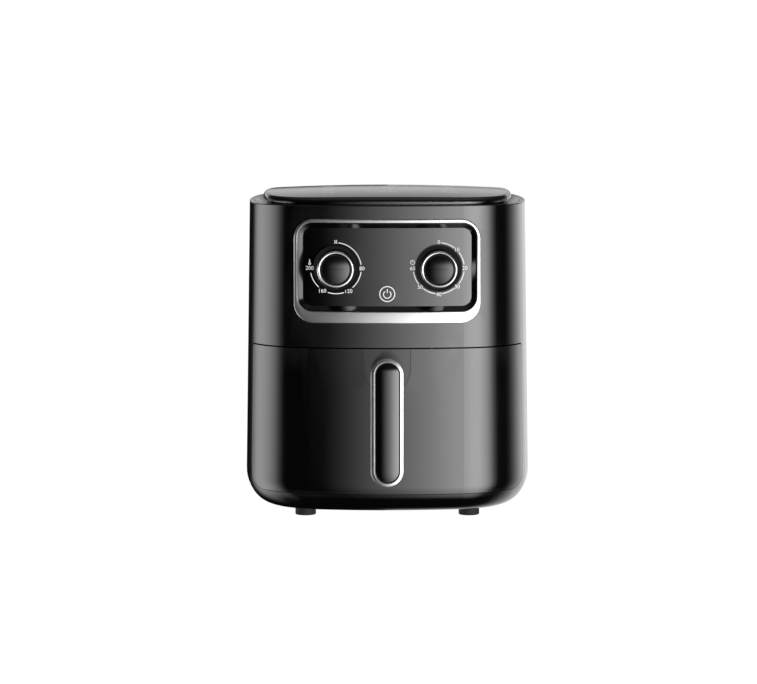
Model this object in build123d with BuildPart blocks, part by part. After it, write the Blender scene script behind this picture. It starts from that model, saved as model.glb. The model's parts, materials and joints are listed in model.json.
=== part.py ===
from build123d import *
from math import atan2, cos, degrees, radians, sin, sqrt, tan
import os

# Air fryer: a drafted, rounded body with a pull-out drawer that carries the pan, two turn
# knobs on a framed control panel, and a motor-driven fan over a heating element.
# X runs to the right, Y to the back, Z up. The origin is on the worktop, under the middle
# of the object's box. All lengths are in millimetres and angles in degrees.

# ------------------------------------------------------------------ driving dimensions
body_width = 265.8       # widest plan of the body
body_depth = 300.0
rim_z = 286.0            # top edge of the outer shell
foot_height = 7.5        # underside of the shell above the worktop
front_radius = 320.0     # bulge of the front, in plan
back_radius = 600.0
side_radius = 600.0
corner_radius = 75.0
base_radius = 27.0       # rounding where the sides turn under
draft = 0.85             # lean of every side, for the mould
wall = 2.6               # moulded plastic walls
sheet = 1.0              # pressed steel of the cooking cavity
handle_reach = 45.0      # face of the handle in front of the body
rear_reach = 3.0         # rear vent behind the body

centre_y = (handle_reach - rear_reach) / 2
front_y = centre_y - body_depth / 2
back_y = centre_y + body_depth / 2
base_z = foot_height

# Drawer bay, seen from the side, and the gap round the drawer in it
sill_z = 24.8
ledge_z = 158.2
wrap_depth = 60.0        # how far the drawer's wings reach back round the corners
bay_low_radius = 22.0
bay_high_radius = 4.0
seam = 0.5
top_gap = 0.8            # extra room over the drawer's top edge, so that it never rubs
wrap_y = front_y + wrap_depth

# Drawer front: an outer skin with a return lip, closed by an inner panel
lip_depth = 9.0
panel_sheet = 2.0
liner_inset = lip_depth - panel_sheet

# Pan
pan_half_width = 110.5
pan_setback = 20.0       # pan's front rim behind the body's front
pan_rear_gap = 28.0      # pan's rear rim before the body's back
pan_front_radius = 300.0
pan_back_radius = 400.0
pan_corner_radius = 58.0
pan_draft = 2.0
pan_wall = 1.2
pan_base_radius = 16.0
pan_bottom_z = 27.5
pan_rim_z = 150.0
pan_lip = 2.0            # turned-out lip, which runs on the rails
pan_front_y = front_y + pan_setback
pan_back_y = back_y - pan_rear_gap

# Cooking cavity
side_clearance = 3.2     # pan side to cavity wall
rear_clearance = 6.0     # pan rim to cavity back
cavity_half_width = pan_half_width + side_clearance
cavity_back_y = pan_back_y + rear_clearance
cavity_floor_z = 21.5
cavity_ceiling_z = 159.2
rail_clearance = 0.4
rail_depth = 3.0
rail_reach = 60.0        # rails end this far behind the body's centre

# Hot-air unit
fan_y = centre_y + 22.0
air_hole_radius = 92.0
reflector_radius = 98.0
reflector_height = 40.0
reflector_flange = 5.0
element_tube = 6.5
element_outer_radius = 82.0
element_inner_radius = 69.0
element_z = 174.0
guard_wire = 1.25        # half the width of the guard's rings
guard_radii = (95.0, 78.0, 60.0, 42.0, 24.0)
element_gap_angle = 12.0
fan_radius = 59.0
fan_z = 183.0
fan_height = 11.0
shaft_diameter = 5.0
shaft_clearance = 0.05
moving_clearance = 1.0
bracket_z = 214.0        # top of the motor bracket
bracket_half_width = 111.0
bracket_depth = 50.0
bracket_sheet = 2.0
motor_diameter = 56.0
motor_height = 26.0
cooling_fan_radius = 38.0
cooling_fan_z = 246.0
shaft_top_z = 260.0

# Lid and air intake inside the rim
lid_gap = 12.8           # lid edge to the body's outer skin
lid_low_z = 288.0
lid_top_z = 297.0
lid_crown_radius = 2200.0
lid_edge_radius = 4.6
skirt_setback = 4.0
skirt_wall = 2.0
intake_floor_z = 276.0
intake_sheet = 2.0
intake_lip = 4.0         # rim lip that the intake's slope starts from
intake_reach = 30.0      # floor of the intake, inwards from the outer skin
intake_slope_reach = 13.5

# Control panel
frame_width = 168.4
frame_low_z = 180.1
frame_high_z = 274.0
frame_radius = 18.0
frame_proud = 3.0
opening_width = 162.0
opening_low_z = 190.7
opening_high_z = 270.6
opening_radius = 13.5
plate_border = 4.8       # width of the gloss border round the plate
plate_recess = 2.5
plate_thick = 2.0
border_proud = 1.2
border_depth = 5.0
knob_x = 46.4
knob_z = 229.6
well_radius = 20.5
well_wall = 1.2
well_floor = 1.5
well_depth = 15.5        # floor of the knob wells behind the body's front
carrier_depth = 21.0
carrier_half_width = 80.8
carrier_low_z = 192.0
carrier_high_z = 266.0
carrier_thick = 2.0
ring_radius = 16.55
cap_radius = 13.2
cap_gap = 0.5
knob_front = 12.0        # face of the knobs in front of the body
ring_length = 13.0
skirt_radius = 19.0
knob_lift = 0.6          # knob skirt clear of the well's floor
spindle_diameter = 6.0
spindle_clearance = 0.05
lens_radius = 7.3
lens_z = 206.6

# Handle
handle_width = 29.2
handle_low_z = 37.7
handle_high_z = 152.6
grip_gap = 26.0          # fingers' room between the body's front and the grip
neck_low_z = 118.0
neck_fillet = 12.0
trim_width = 3.3
trim_depth = 9.0
insert_gap = 0.3
insert_width_gap = trim_width + insert_gap
cover_half_width = 20.7
cover_round_z = 138.4
cover_seam = 0.5

# Feet, vent, gland and fasteners
foot_diameter = 19.0
foot_x = 75.0
foot_offset_y = 95.0
foot_stem = 8.0
vent_half_width = 42.0
vent_low_z = 165.0
vent_high_z = 199.0
vent_flange = 5.0
gland_x = 60.0
gland_z = 60.0
gland_bore_radius = 3.7
switch_x = 40.0
switch_depth = 11.5      # plunger behind the body's front
plunger_radius = 1.5
plunger_clearance = 0.1
plunger_lift = 0.3       # plunger tip above the drawer's top edge


def slope(angle, rise):
    """Sideways run of a face that leans `angle` over a height of `rise`."""
    return rise * tan(radians(angle))


def front_setback(x, z):
    """How far the outer skin at (x, z) lies behind the body's foremost line."""
    bulge = front_radius - sqrt(front_radius ** 2 - x ** 2)
    return bulge + slope(draft, z - base_z)


# ------------------------------------------------------------------ shared outlines and forms
def body_plan(inset):
    """The body's outline in plan, `inset` inside its widest outline."""
    with BuildSketch() as outline:
        with Locations((0, front_y + front_radius)):
            Circle(front_radius - inset)
        with Locations((0, back_y - back_radius)):
            Circle(back_radius - inset, mode=Mode.INTERSECT)
        for side in (-1, 1):
            with Locations((side * (body_width / 2 - side_radius), centre_y)):
                Circle(side_radius - inset, mode=Mode.INTERSECT)
        fillet(outline.vertices(), corner_radius - inset)
    return outline.sketch


def body_form(inset, top=rim_z):
    """The whole body as a solid, `inset` inside its outer skin, up to height `top`."""
    outline = body_plan(inset)
    low = base_z + inset
    with BuildPart() as form:
        with BuildSketch(Plane.XY.offset(low)):
            add(outline)
        extrude(amount=top - low, taper=draft)
        fillet(form.faces().sort_by(Axis.Z)[0].edges(), base_radius - inset)
    return form.part


def body_layer(inset, low, high):
    """A layer of the body above its rounded base, `inset` inside the outer skin."""
    outline = body_plan(inset + slope(draft, low - base_z))
    with BuildPart() as layer:
        with BuildSketch(Plane.XY.offset(low)):
            add(outline)
        extrude(amount=high - low, taper=draft)
    return layer.part


def straight_layer(inset, low, high):
    """A layer with upright sides, whose outline is the body's at height `low`."""
    outline = body_plan(inset + slope(draft, low - base_z))
    with BuildPart() as layer:
        with BuildSketch(Plane.XY.offset(low)):
            add(outline)
        extrude(amount=high - low)
    return layer.part


def bay_block(shrink, headroom=0.0):
    """The drawer's outline from the side, run right across the body, `shrink` inside the bay."""
    low, high = sill_z + shrink, ledge_z - shrink - headroom
    near, far = front_y - body_depth, wrap_y - shrink
    with BuildPart() as bay_run:
        with BuildSketch(Plane.YZ):
            with Locations(((near + far) / 2, (low + high) / 2)):
                Rectangle(far - near, high - low)
        extrude(amount=body_width, both=True)
        rear = bay_run.edges().filter_by(Axis.X).group_by(Axis.Y)[-1].sort_by(Axis.Z)
        fillet(rear[0], bay_low_radius - shrink)
        rear = bay_run.edges().filter_by(Axis.X).group_by(Axis.Y)[-1].sort_by(Axis.Z)
        fillet(rear[-1], bay_high_radius - shrink)
    return bay_run.part


def facing(depth):
    """Upright plane `depth` behind the body's front, whose normal points to the front."""
    return Plane.XZ.offset(-(front_y + depth))


def prism(outline, near, far):
    """An outline seen from the front, run from `far` to `near` behind the body's front."""
    with BuildPart() as run:
        with BuildSketch(facing(far)):
            add(outline)
        extrude(amount=far - near)
    return run.part


def rod(x, z, radius, near, far):
    """A round bar along Y at (x, z), from `far` to `near` behind the body's front."""
    with BuildPart() as bar:
        with BuildSketch(facing(far)):
            with Locations((x, z)):
                Circle(radius)
        extrude(amount=far - near)
    return bar.part


def post(x, y, radius, low, high):
    """A round bar along Z."""
    with BuildPart() as bar:
        with BuildSketch(Plane.XY.offset(low)):
            with Locations((x, y)):
                Circle(radius)
        extrude(amount=high - low)
    return bar.part


def block(x_range, y_range, z_range):
    """A box between three pairs of coordinates."""
    with BuildPart() as box:
        with Locations([(sum(x_range) / 2, sum(y_range) / 2, sum(z_range) / 2)]):
            Box(x_range[1] - x_range[0], y_range[1] - y_range[0], z_range[1] - z_range[0])
    return box.part


def rounded_panel(width, low, high, radius):
    """A rounded rectangle between two heights, centred across."""
    with BuildSketch() as outline:
        with Locations((0, (low + high) / 2)):
            RectangleRounded(width, high - low, radius)
    return outline.sketch


def stadium(width, low, high):
    """An upright slot shape with fully round ends, centred across."""
    with BuildSketch() as outline:
        with Locations((0, (low + high) / 2)):
            SlotOverall(high - low, width, rotation=90)
    return outline.sketch


def write(piece, label):
    """Label a finished piece and write its STEP file."""
    piece.part.label = label
    export_step(piece.part, f"parts/{label}.step")


os.makedirs("parts", exist_ok=True)

skin = body_form(0)
skin_inside = body_form(wall, rim_z + 1)
lip_inside = body_form(lip_depth)
liner_outside = body_form(liner_inset)

# ------------------------------------------------------------------ control panel
opening = rounded_panel(opening_width, opening_low_z, opening_high_z, opening_radius)
plate_outline = rounded_panel(
    opening_width - 2 * plate_border,
    opening_low_z + plate_border,
    opening_high_z - plate_border,
    opening_radius - plate_border,
)
frame_outline = rounded_panel(frame_width, frame_low_z, frame_high_z, frame_radius)
clip_reach = 3.0         # border's hidden clip flange, outside the opening
clip_outline = rounded_panel(
    opening_width + 2 * clip_reach,
    opening_low_z - clip_reach,
    opening_high_z + clip_reach,
    opening_radius + clip_reach,
)
panel_near = -20.0       # prisms for the panel start this far in front of the body
panel_far = 40.0

opening_prism = prism(opening, panel_near, panel_far)
plate_prism = prism(plate_outline, panel_near, panel_far)
frame_prism = prism(frame_outline, panel_near, panel_far)
clip_prism = prism(clip_outline, panel_near, panel_far)
frame_form = body_form(-frame_proud)
border_front = body_form(-border_proud)
border_back = body_form(border_depth)
plate_front = body_form(plate_recess)
plate_back = body_form(plate_recess + plate_thick)

with BuildPart() as trim_ring:
    add(frame_prism)
    add(opening_prism, mode=Mode.SUBTRACT)
    add(frame_form, mode=Mode.INTERSECT)
    add(skin, mode=Mode.SUBTRACT)
write(trim_ring, "trim_ring")

with BuildPart() as border_clip:
    add(clip_prism)
    add(skin_inside, mode=Mode.INTERSECT)
    add(plate_prism, mode=Mode.SUBTRACT)
with BuildPart() as panel_bezel:
    add(opening_prism)
    add(border_front, mode=Mode.INTERSECT)
    add(plate_prism, mode=Mode.SUBTRACT)
    add(border_clip.part)
    add(border_back, mode=Mode.SUBTRACT)
write(panel_bezel, "panel_bezel")

well_outer_radius = well_radius + well_wall
wells = [rod(side * knob_x, knob_z, well_outer_radius, panel_near, panel_far) for side in (-1, 1)]
lens_rod = rod(0, lens_z, lens_radius, panel_near, panel_far)
with BuildPart() as control_panel:
    add(plate_prism)
    add(plate_front, mode=Mode.INTERSECT)
    add(plate_back, mode=Mode.SUBTRACT)
    add(wells, mode=Mode.SUBTRACT)
    add(lens_rod, mode=Mode.SUBTRACT)
write(control_panel, "control_panel")

spindle_hole = spindle_diameter / 2 + moving_clearance
well_back = well_depth + well_floor
for side, label in ((-1, "temperature_well"), (1, "timer_well")):
    x = side * knob_x
    cup = rod(x, knob_z, well_outer_radius, panel_near, well_back)
    hollow = rod(x, knob_z, well_radius, panel_near, well_depth)
    spindle_way = rod(x, knob_z, spindle_hole, panel_near, panel_far)
    with BuildPart() as well:
        add(cup)
        add(plate_front, mode=Mode.INTERSECT)
        add(hollow, mode=Mode.SUBTRACT)
        add(spindle_way, mode=Mode.SUBTRACT)
    write(well, label)

with BuildPart() as lamp_lens:
    add(lens_rod)
    add(body_form(plate_recess - 0.3), mode=Mode.INTERSECT)
    add(plate_back, mode=Mode.SUBTRACT)
write(lamp_lens, "lamp_lens")

# The carrier is a flat plate that bridges the curved border from behind and takes the
# timer and the thermostat, so that both spindles stay square to it.
carrier_back = carrier_depth + carrier_thick
peg_x = 78.0
peg_rise = 26.0
peg_radius = 2.0
peg_places = [(x, (carrier_low_z + carrier_high_z) / 2 + rise)
              for x in (-peg_x, peg_x) for rise in (-peg_rise, peg_rise)]
carrier_outline = rounded_panel(2 * carrier_half_width, carrier_low_z, carrier_high_z, 4)
lamp_radius = 5.0
with BuildPart() as carrier_pegs:
    for x, z in peg_places:
        add(rod(x, z, peg_radius, 0, carrier_depth))
    add(border_back, mode=Mode.INTERSECT)
screw_radius = 1.5
screw_offset = 8.0
screw_places = [(side * knob_x, knob_z + rise)
                for side in (-1, 1) for rise in (-screw_offset, screw_offset)]
screw_ways = [rod(*place, screw_radius, 0, carrier_back + 6) for place in screw_places]
spindle_ways = [rod(side * knob_x, knob_z, spindle_hole, 0, panel_far) for side in (-1, 1)]
with BuildPart() as panel_carrier:
    add(prism(carrier_outline, carrier_depth, carrier_back))
    add(carrier_pegs.part)
    add(spindle_ways, mode=Mode.SUBTRACT)
    add(screw_ways, mode=Mode.SUBTRACT)
    add(rod(0, lens_z, lamp_radius, 0, panel_far), mode=Mode.SUBTRACT)
write(panel_carrier, "panel_carrier")

lamp_flange = 1.5
lamp_front_depth = 11.0
with BuildPart() as lamp:
    add(rod(0, lens_z, lamp_radius, lamp_front_depth, carrier_back + 8))
    add(rod(0, lens_z, lamp_radius + lamp_flange, carrier_depth - lamp_flange, carrier_depth))
    fillet(lamp.faces().sort_by(Axis.Y)[0].edges(), 2)
write(lamp, "lamp")

# Both controls have a body on the carrier's back and a bore that the spindle turns in.
spindle_bore = spindle_diameter / 2 + spindle_clearance
bore_depth = 10.0
control_specs = (
    (-1, "thermostat", 30.0, 25.0, 24.0),
    (1, "timer", 40.0, 40.0, 30.0),
)
for side, label, width, height, depth in control_specs:
    x = side * knob_x
    half_w, half_h = width / 2, height / 2
    back = carrier_back + depth
    low, high = knob_z - half_h, knob_z + half_h
    body = block((x - half_w, x + half_w), (front_y + carrier_back, front_y + back), (low, high))
    with BuildPart() as control:
        add(body)
        fillet(control.edges().filter_by(Axis.Y), 2)
        add(rod(x, knob_z, spindle_bore, 0, carrier_back + bore_depth), mode=Mode.SUBTRACT)
        add(screw_ways, mode=Mode.SUBTRACT)
    write(control, label)

head_radius = 2.8
head_height = 1.6
with BuildPart() as control_screws:
    for place in screw_places:
        add(rod(*place, screw_radius, carrier_depth - head_height, carrier_back + 6))
        add(rod(*place, head_radius, carrier_depth - head_height, carrier_depth))
write(control_screws, "control_screws")

# ------------------------------------------------------------------ knobs
barrel_radius = ring_radius - 0.6
ring_inner = cap_radius + cap_gap
cap_seat = 8.0           # bottom of the ring's recess, in front of the body
ring_front = 1.0 - knob_front
ring_back = ring_front + ring_length
skirt_thick = 3.0
knob_back = well_depth - knob_lift
spindle_front = -2.0
nib_half = 1.2
nib_height = 1.1
mark_half = 7.5          # pressed line across the cap
mark_depth = 0.5
for side, label, control in ((-1, "temperature", "thermostat"), (1, "timer", "timer")):
    x = side * knob_x
    with BuildPart() as knob:
        add(rod(x, knob_z, barrel_radius, ring_back, knob_back))
        add(rod(x, knob_z, ring_inner, -cap_seat, ring_back))
        add(rod(x, knob_z, skirt_radius, knob_back - skirt_thick, knob_back))
        add(rod(x, knob_z, spindle_diameter / 2, spindle_front, well_depth), mode=Mode.SUBTRACT)
    write(knob, f"{label}_knob")

    nib = block(
        (x - nib_half, x + nib_half),
        (front_y + ring_front, front_y + ring_front + 2),
        (knob_z + ring_radius - 1, knob_z + ring_radius + nib_height),
    )
    with BuildPart() as ring:
        add(rod(x, knob_z, ring_radius, ring_front, ring_back))
        fillet(ring.faces().sort_by(Axis.Y)[0].edges(), 1.0)
        add(nib)
        add(rod(x, knob_z, ring_inner, ring_front - 1, ring_back), mode=Mode.SUBTRACT)
    write(ring, f"{label}_knob_ring")

    mark = block(
        (x - mark_half, x + mark_half),
        (front_y - knob_front - 1, front_y - knob_front + mark_depth),
        (knob_z - 0.4, knob_z + 0.4),
    )
    with BuildPart() as cap:
        add(rod(x, knob_z, cap_radius, -knob_front, -cap_seat))
        fillet(cap.faces().sort_by(Axis.Y)[0].edges(), 1.2)
        add(mark, mode=Mode.SUBTRACT)
    write(cap, f"{label}_knob_cap")

    with BuildPart() as spindle:
        add(rod(x, knob_z, spindle_diameter / 2, spindle_front, carrier_back + bore_depth - 0.5))
    write(spindle, f"{control}_shaft")

# ------------------------------------------------------------------ drawer front
bay = bay_block(0)
bay_grown = bay_block(-wall)
drawer_room = bay_block(seam, top_gap)
drawer_hollow = bay_block(seam + wall, top_gap)
drawer_top_z = ledge_z - seam - top_gap

handle_outline = stadium(handle_width, handle_low_z, handle_high_z)
core_outline = stadium(
    handle_width - 2 * trim_width, handle_low_z + trim_width, handle_high_z - trim_width
)
insert_outline = stadium(
    handle_width - 2 * insert_width_gap,
    handle_low_z + insert_width_gap,
    handle_high_z - insert_width_gap,
)
handle_screw_z = (126.0, 144.0)
handle_screw_radius = 2.0
handle_screw_reach = 20.0    # into the neck, in front of the body
pad_depth = 12.5             # seat of the handle screws' heads, behind the body's front
pad_radius = 5.0
handle_screw_ways = [rod(0, z, handle_screw_radius, -handle_screw_reach, panel_far)
                     for z in handle_screw_z]

front_screw_x = 50.0
front_screw_heights = (48.0, 138.0)
front_screw_places = [(x, z) for x in (-front_screw_x, front_screw_x) for z in front_screw_heights]
front_screw_radius = 1.5
front_boss_radius = 4.0
front_pad_depth = 16.8
front_screw_cover = 2.2      # plastic left in front of the screws' tips
front_screw_start = front_setback(front_screw_x, front_screw_heights[-1]) + front_screw_cover
front_screw_ways = [rod(*place, front_screw_radius, front_screw_start, 30)
                    for place in front_screw_places]


def cover_prism(grow):
    """U-shaped outline round the handle's root, run through the drawer's skin."""
    radius = cover_half_width + grow
    top = drawer_top_z + 5
    with BuildPart() as run:
        with BuildSketch(facing(panel_far)):
            with Locations((0, cover_round_z)):
                Circle(radius)
            with Locations((0, (cover_round_z + top) / 2)):
                Rectangle(2 * radius, top - cover_round_z)
        extrude(amount=panel_far - panel_near)
    return run.part


cover_core = cover_prism(0)
cover_cut = cover_prism(cover_seam)
cover_flange = cover_prism(3)
cover_thick = body_form(wall + panel_sheet)

with BuildPart() as front_hollow:
    add(skin_inside)
    add(drawer_hollow, mode=Mode.INTERSECT)
with BuildPart() as front_bosses:
    for place in front_screw_places:
        add(rod(*place, front_boss_radius, 0, 30))
    add(skin_inside, mode=Mode.INTERSECT)
    add(liner_outside, mode=Mode.SUBTRACT)
with BuildPart() as cover_way:
    add(cover_cut)
    add(skin_inside, mode=Mode.SUBTRACT)
with BuildPart() as drawer_front:
    add(skin)
    add(drawer_room, mode=Mode.INTERSECT)
    add(front_hollow.part, mode=Mode.SUBTRACT)
    add(lip_inside, mode=Mode.SUBTRACT)
    add(cover_way.part, mode=Mode.SUBTRACT)
    add(front_bosses.part)
    add(front_screw_ways, mode=Mode.SUBTRACT)
write(drawer_front, "drawer_front")

with BuildPart() as cover_bosses:
    for z in handle_screw_z:
        add(rod(0, z, pad_radius, 0, 30))
    add(cover_thick, mode=Mode.INTERSECT)
    add(liner_outside, mode=Mode.SUBTRACT)
with BuildPart() as cover_back:
    add(cover_flange)
    add(front_hollow.part, mode=Mode.INTERSECT)
    add(cover_thick, mode=Mode.SUBTRACT)
with BuildPart() as handle_cover:
    add(cover_core)
    add(skin, mode=Mode.INTERSECT)
    add(drawer_room, mode=Mode.INTERSECT)
    add(skin_inside, mode=Mode.SUBTRACT)
    add(cover_back.part)
    add(cover_bosses.part)
    add(handle_screw_ways, mode=Mode.SUBTRACT)
write(handle_cover, "handle_cover")

pads = [rod(0, z, pad_radius, 0, pad_depth) for z in handle_screw_z]
pads += [rod(*place, pad_radius, 0, front_pad_depth) for place in front_screw_places]
with BuildPart() as drawer_liner:
    add(liner_outside)
    add(drawer_hollow, mode=Mode.INTERSECT)
    add(lip_inside, mode=Mode.SUBTRACT)
    for pad in pads:
        add(pad)
    add(liner_outside, mode=Mode.INTERSECT)
    add(handle_screw_ways, mode=Mode.SUBTRACT)
    add(front_screw_ways, mode=Mode.SUBTRACT)
write(drawer_liner, "drawer_liner")

front_head_radius = 3.2
front_head_height = 2.0
with BuildPart() as front_screws:
    for place in front_screw_places:
        back = front_pad_depth + front_head_height
        add(rod(*place, front_screw_radius, front_screw_start, back))
        add(rod(*place, front_head_radius, front_pad_depth, back))
write(front_screws, "front_screws")

handle_head_radius = 3.8
handle_head_height = 2.5
with BuildPart() as handle_screws:
    for z in handle_screw_z:
        back = pad_depth + handle_head_height
        add(rod(0, z, handle_screw_radius, -handle_screw_reach, back))
        add(rod(0, z, handle_head_radius, pad_depth, back))
write(handle_screws, "handle_screws")

# ------------------------------------------------------------------ handle
trim_setback = 0.8           # trim's face behind the insert's crown
trim_round = 1.2
insert_depth = 4.5
insert_round = 3.4
trim_front = trim_setback - handle_reach
trim_back = trim_front + trim_depth
insert_seat = insert_depth - handle_reach
with BuildPart() as finger_room:
    with BuildSketch(Plane.YZ):
        near, far = front_y - grip_gap, front_y + body_depth
        with Locations(((near + far) / 2, neck_low_z - handle_high_z / 2)):
            Rectangle(far - near, handle_high_z)
    extrude(amount=body_width, both=True)
    root = finger_room.edges().filter_by(Axis.X).group_by(Axis.Y)[0].sort_by(Axis.Z)[-1]
    fillet(root, neck_fillet)
with BuildPart() as handle_body:
    add(prism(handle_outline, trim_back, panel_far))
    add(prism(core_outline, insert_seat, trim_back))
    add(finger_room.part, mode=Mode.SUBTRACT)
    add(skin, mode=Mode.SUBTRACT)
    add(handle_screw_ways, mode=Mode.SUBTRACT)
write(handle_body, "handle_body")

with BuildPart() as handle_trim:
    add(prism(handle_outline, trim_front, trim_back))
    fillet(handle_trim.faces().sort_by(Axis.Y)[0].edges(), trim_round)
    add(prism(core_outline, trim_front - 1, trim_back), mode=Mode.SUBTRACT)
write(handle_trim, "handle_trim")

with BuildPart() as handle_insert:
    add(prism(insert_outline, -handle_reach, insert_seat))
    fillet(handle_insert.faces().sort_by(Axis.Y)[0].edges(), insert_round)
write(handle_insert, "handle_insert")

# ------------------------------------------------------------------ pan
def pan_plan(grow):
    """The pan's outline at its rim, `grow` outside it."""
    with BuildSketch() as outline:
        with Locations((0, pan_front_y + pan_front_radius)):
            Circle(pan_front_radius + grow)
        with Locations((0, pan_back_y - pan_back_radius)):
            Circle(pan_back_radius + grow, mode=Mode.INTERSECT)
        with Locations((0, (pan_front_y + pan_back_y) / 2)):
            Rectangle(2 * (pan_half_width + grow), 2 * body_depth, mode=Mode.INTERSECT)
        fillet(outline.vertices(), pan_corner_radius + grow)
    return outline.sketch


def pan_form(inset, top):
    """The pan as a solid, `inset` inside its outer skin, with a rounded base."""
    low = pan_bottom_z + inset
    outline = pan_plan(-inset - slope(pan_draft, pan_rim_z - low))
    with BuildPart() as form:
        with BuildSketch(Plane.XY.offset(low)):
            add(outline)
        extrude(amount=top - low, taper=-pan_draft)
        fillet(form.faces().sort_by(Axis.Z)[0].edges(), pan_base_radius - inset)
    return form.part


pan_skin = pan_form(0, pan_rim_z)
pan_inside = pan_form(pan_wall, pan_rim_z + 5)
lip_outline = pan_plan(pan_lip)
rim_outline = pan_plan(-pan_wall)
with BuildPart() as pan:
    with BuildSketch(Plane.XY.offset(pan_rim_z - pan_wall)):
        add(lip_outline)
        add(rim_outline, mode=Mode.SUBTRACT)
    extrude(amount=pan_wall)
    add(pan_skin)
    add(pan_inside, mode=Mode.SUBTRACT)
write(pan, "pan")

bracket_arm_x = 24.0
bracket_arm = 2.5
pan_bracket_low_z = 62.0
pan_bracket_high_z = 112.0
pan_bracket_sheet = 2.0
plate_form = body_form(lip_depth + pan_bracket_sheet)
bracket_heights = (pan_bracket_low_z, pan_bracket_high_z)
bracket_near = (front_y, front_y + pan_setback + 20)
with BuildPart() as bracket_plate:
    add(block((-bracket_arm_x, bracket_arm_x), bracket_near, bracket_heights))
    add(plate_form, mode=Mode.SUBTRACT)
with BuildPart() as pan_bracket:
    add(bracket_plate.part)
    for side in (-1, 1):
        outer, inner = side * bracket_arm_x, side * (bracket_arm_x - bracket_arm)
        add(block((min(outer, inner), max(outer, inner)), bracket_near, bracket_heights))
    add(lip_inside, mode=Mode.INTERSECT)
    add(pan_skin, mode=Mode.SUBTRACT)
write(pan_bracket, "pan_bracket")

# ------------------------------------------------------------------ crisper plate
crisper_z = 44.0
crisper_thick = 1.5
crisper_rim = 8.0
crisper_gap = 1.2
crisper_foot_radius = 6.0
crisper_foot_lift = 0.3
crisper_foot_x = 78.0
crisper_foot_y = 82.0
pan_middle_y = (pan_front_y + pan_back_y) / 2
crisper_outline = pan_plan(-pan_wall - crisper_gap - slope(pan_draft, pan_rim_z - crisper_z))
hole_pitch = 14.0
hole_radius = 3.0
hole_columns, hole_rows = 13, 15
grip_hole_radius = 9.0       # hole in the middle that a finger lifts the plate by
grip_hole_land = 2.0
with BuildPart() as crisper_plate:
    with BuildSketch(Plane.XY.offset(crisper_z)):
        add(crisper_outline)
    extrude(amount=crisper_rim)
    upper = crisper_plate.faces().sort_by(Axis.Z)[-1]
    offset(amount=-crisper_thick, openings=upper)
    with BuildSketch(Plane.XY.offset(crisper_z)):
        with Locations((0, pan_middle_y)):
            with GridLocations(hole_pitch, hole_pitch, hole_columns, hole_rows):
                Circle(hole_radius)
        with Locations((0, pan_middle_y)):
            Circle(grip_hole_radius + grip_hole_land, mode=Mode.SUBTRACT)
            Circle(grip_hole_radius)
    extrude(amount=crisper_thick, mode=Mode.SUBTRACT)
write(crisper_plate, "crisper_plate")

with BuildPart() as crisper_feet:
    for x in (-crisper_foot_x, crisper_foot_x):
        for y in (pan_middle_y - crisper_foot_y, pan_middle_y + crisper_foot_y):
            low = pan_bottom_z + pan_wall + crisper_foot_lift
            add(post(x, y, crisper_foot_radius, low, crisper_z))
write(crisper_feet, "crisper_feet")

# ------------------------------------------------------------------ housing
liner_front_y = wrap_y + wall
mouth_x = (-cavity_half_width, cavity_half_width)
flange_width = 8.0
cover_inset = 58.0       # edge of the bottom cover, inside the body's widest outline
cover_sheet = 1.5
cover_outline = body_plan(cover_inset)
flange_outline = body_plan(cover_inset + flange_width)
foot_places = [(x, centre_y + y)
               for x in (-foot_x, foot_x) for y in (-foot_offset_y, foot_offset_y)]
bottom_screw_inset = cover_inset + flange_width / 2
bottom_screw_places = [
    (0, front_y + bottom_screw_inset),
    (0, back_y - bottom_screw_inset),
    (body_width / 2 - bottom_screw_inset, centre_y),
    (bottom_screw_inset - body_width / 2, centre_y),
]
bottom_screw_radius = 1.75
bottom_boss_radius = 3.8
bottom_boss_top = base_z + 9.0
gland_hole_radius = 6.0
vent_outline = rounded_panel(2 * vent_half_width, vent_low_z, vent_high_z, 4)
switch_y = front_y + switch_depth
rear_depth = body_depth + rear_reach     # rear vent's face, behind the body's front
rim_round = 0.7

gland_hole = rod(gland_x, gland_z, gland_hole_radius, body_depth - 30, body_depth + 10)
vent_prism = prism(vent_outline, body_depth - 30, body_depth + 10)
foot_holes = [post(*place, foot_stem / 2, 0, base_z + wall) for place in foot_places]
bottom_screw_ways = [post(*place, bottom_screw_radius, base_z, bottom_boss_top)
                     for place in bottom_screw_places]
plunger_way = post(switch_x, switch_y, plunger_radius + 0.4, ledge_z, ledge_z + wall)
bosses = [post(*place, bottom_boss_radius, base_z + wall, bottom_boss_top)
          for place in bottom_screw_places]
mouth = block(mouth_x, (wrap_y - bay_low_radius, wrap_y + wall), (sill_z, ledge_z))
sill_slab = block(mouth_x, (wrap_y - bay_low_radius, wrap_y + wall), (sill_z - wall, sill_z))
ledge_slab = block(mouth_x, (wrap_y - bay_low_radius, wrap_y + wall), (ledge_z, ledge_z + wall))

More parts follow.
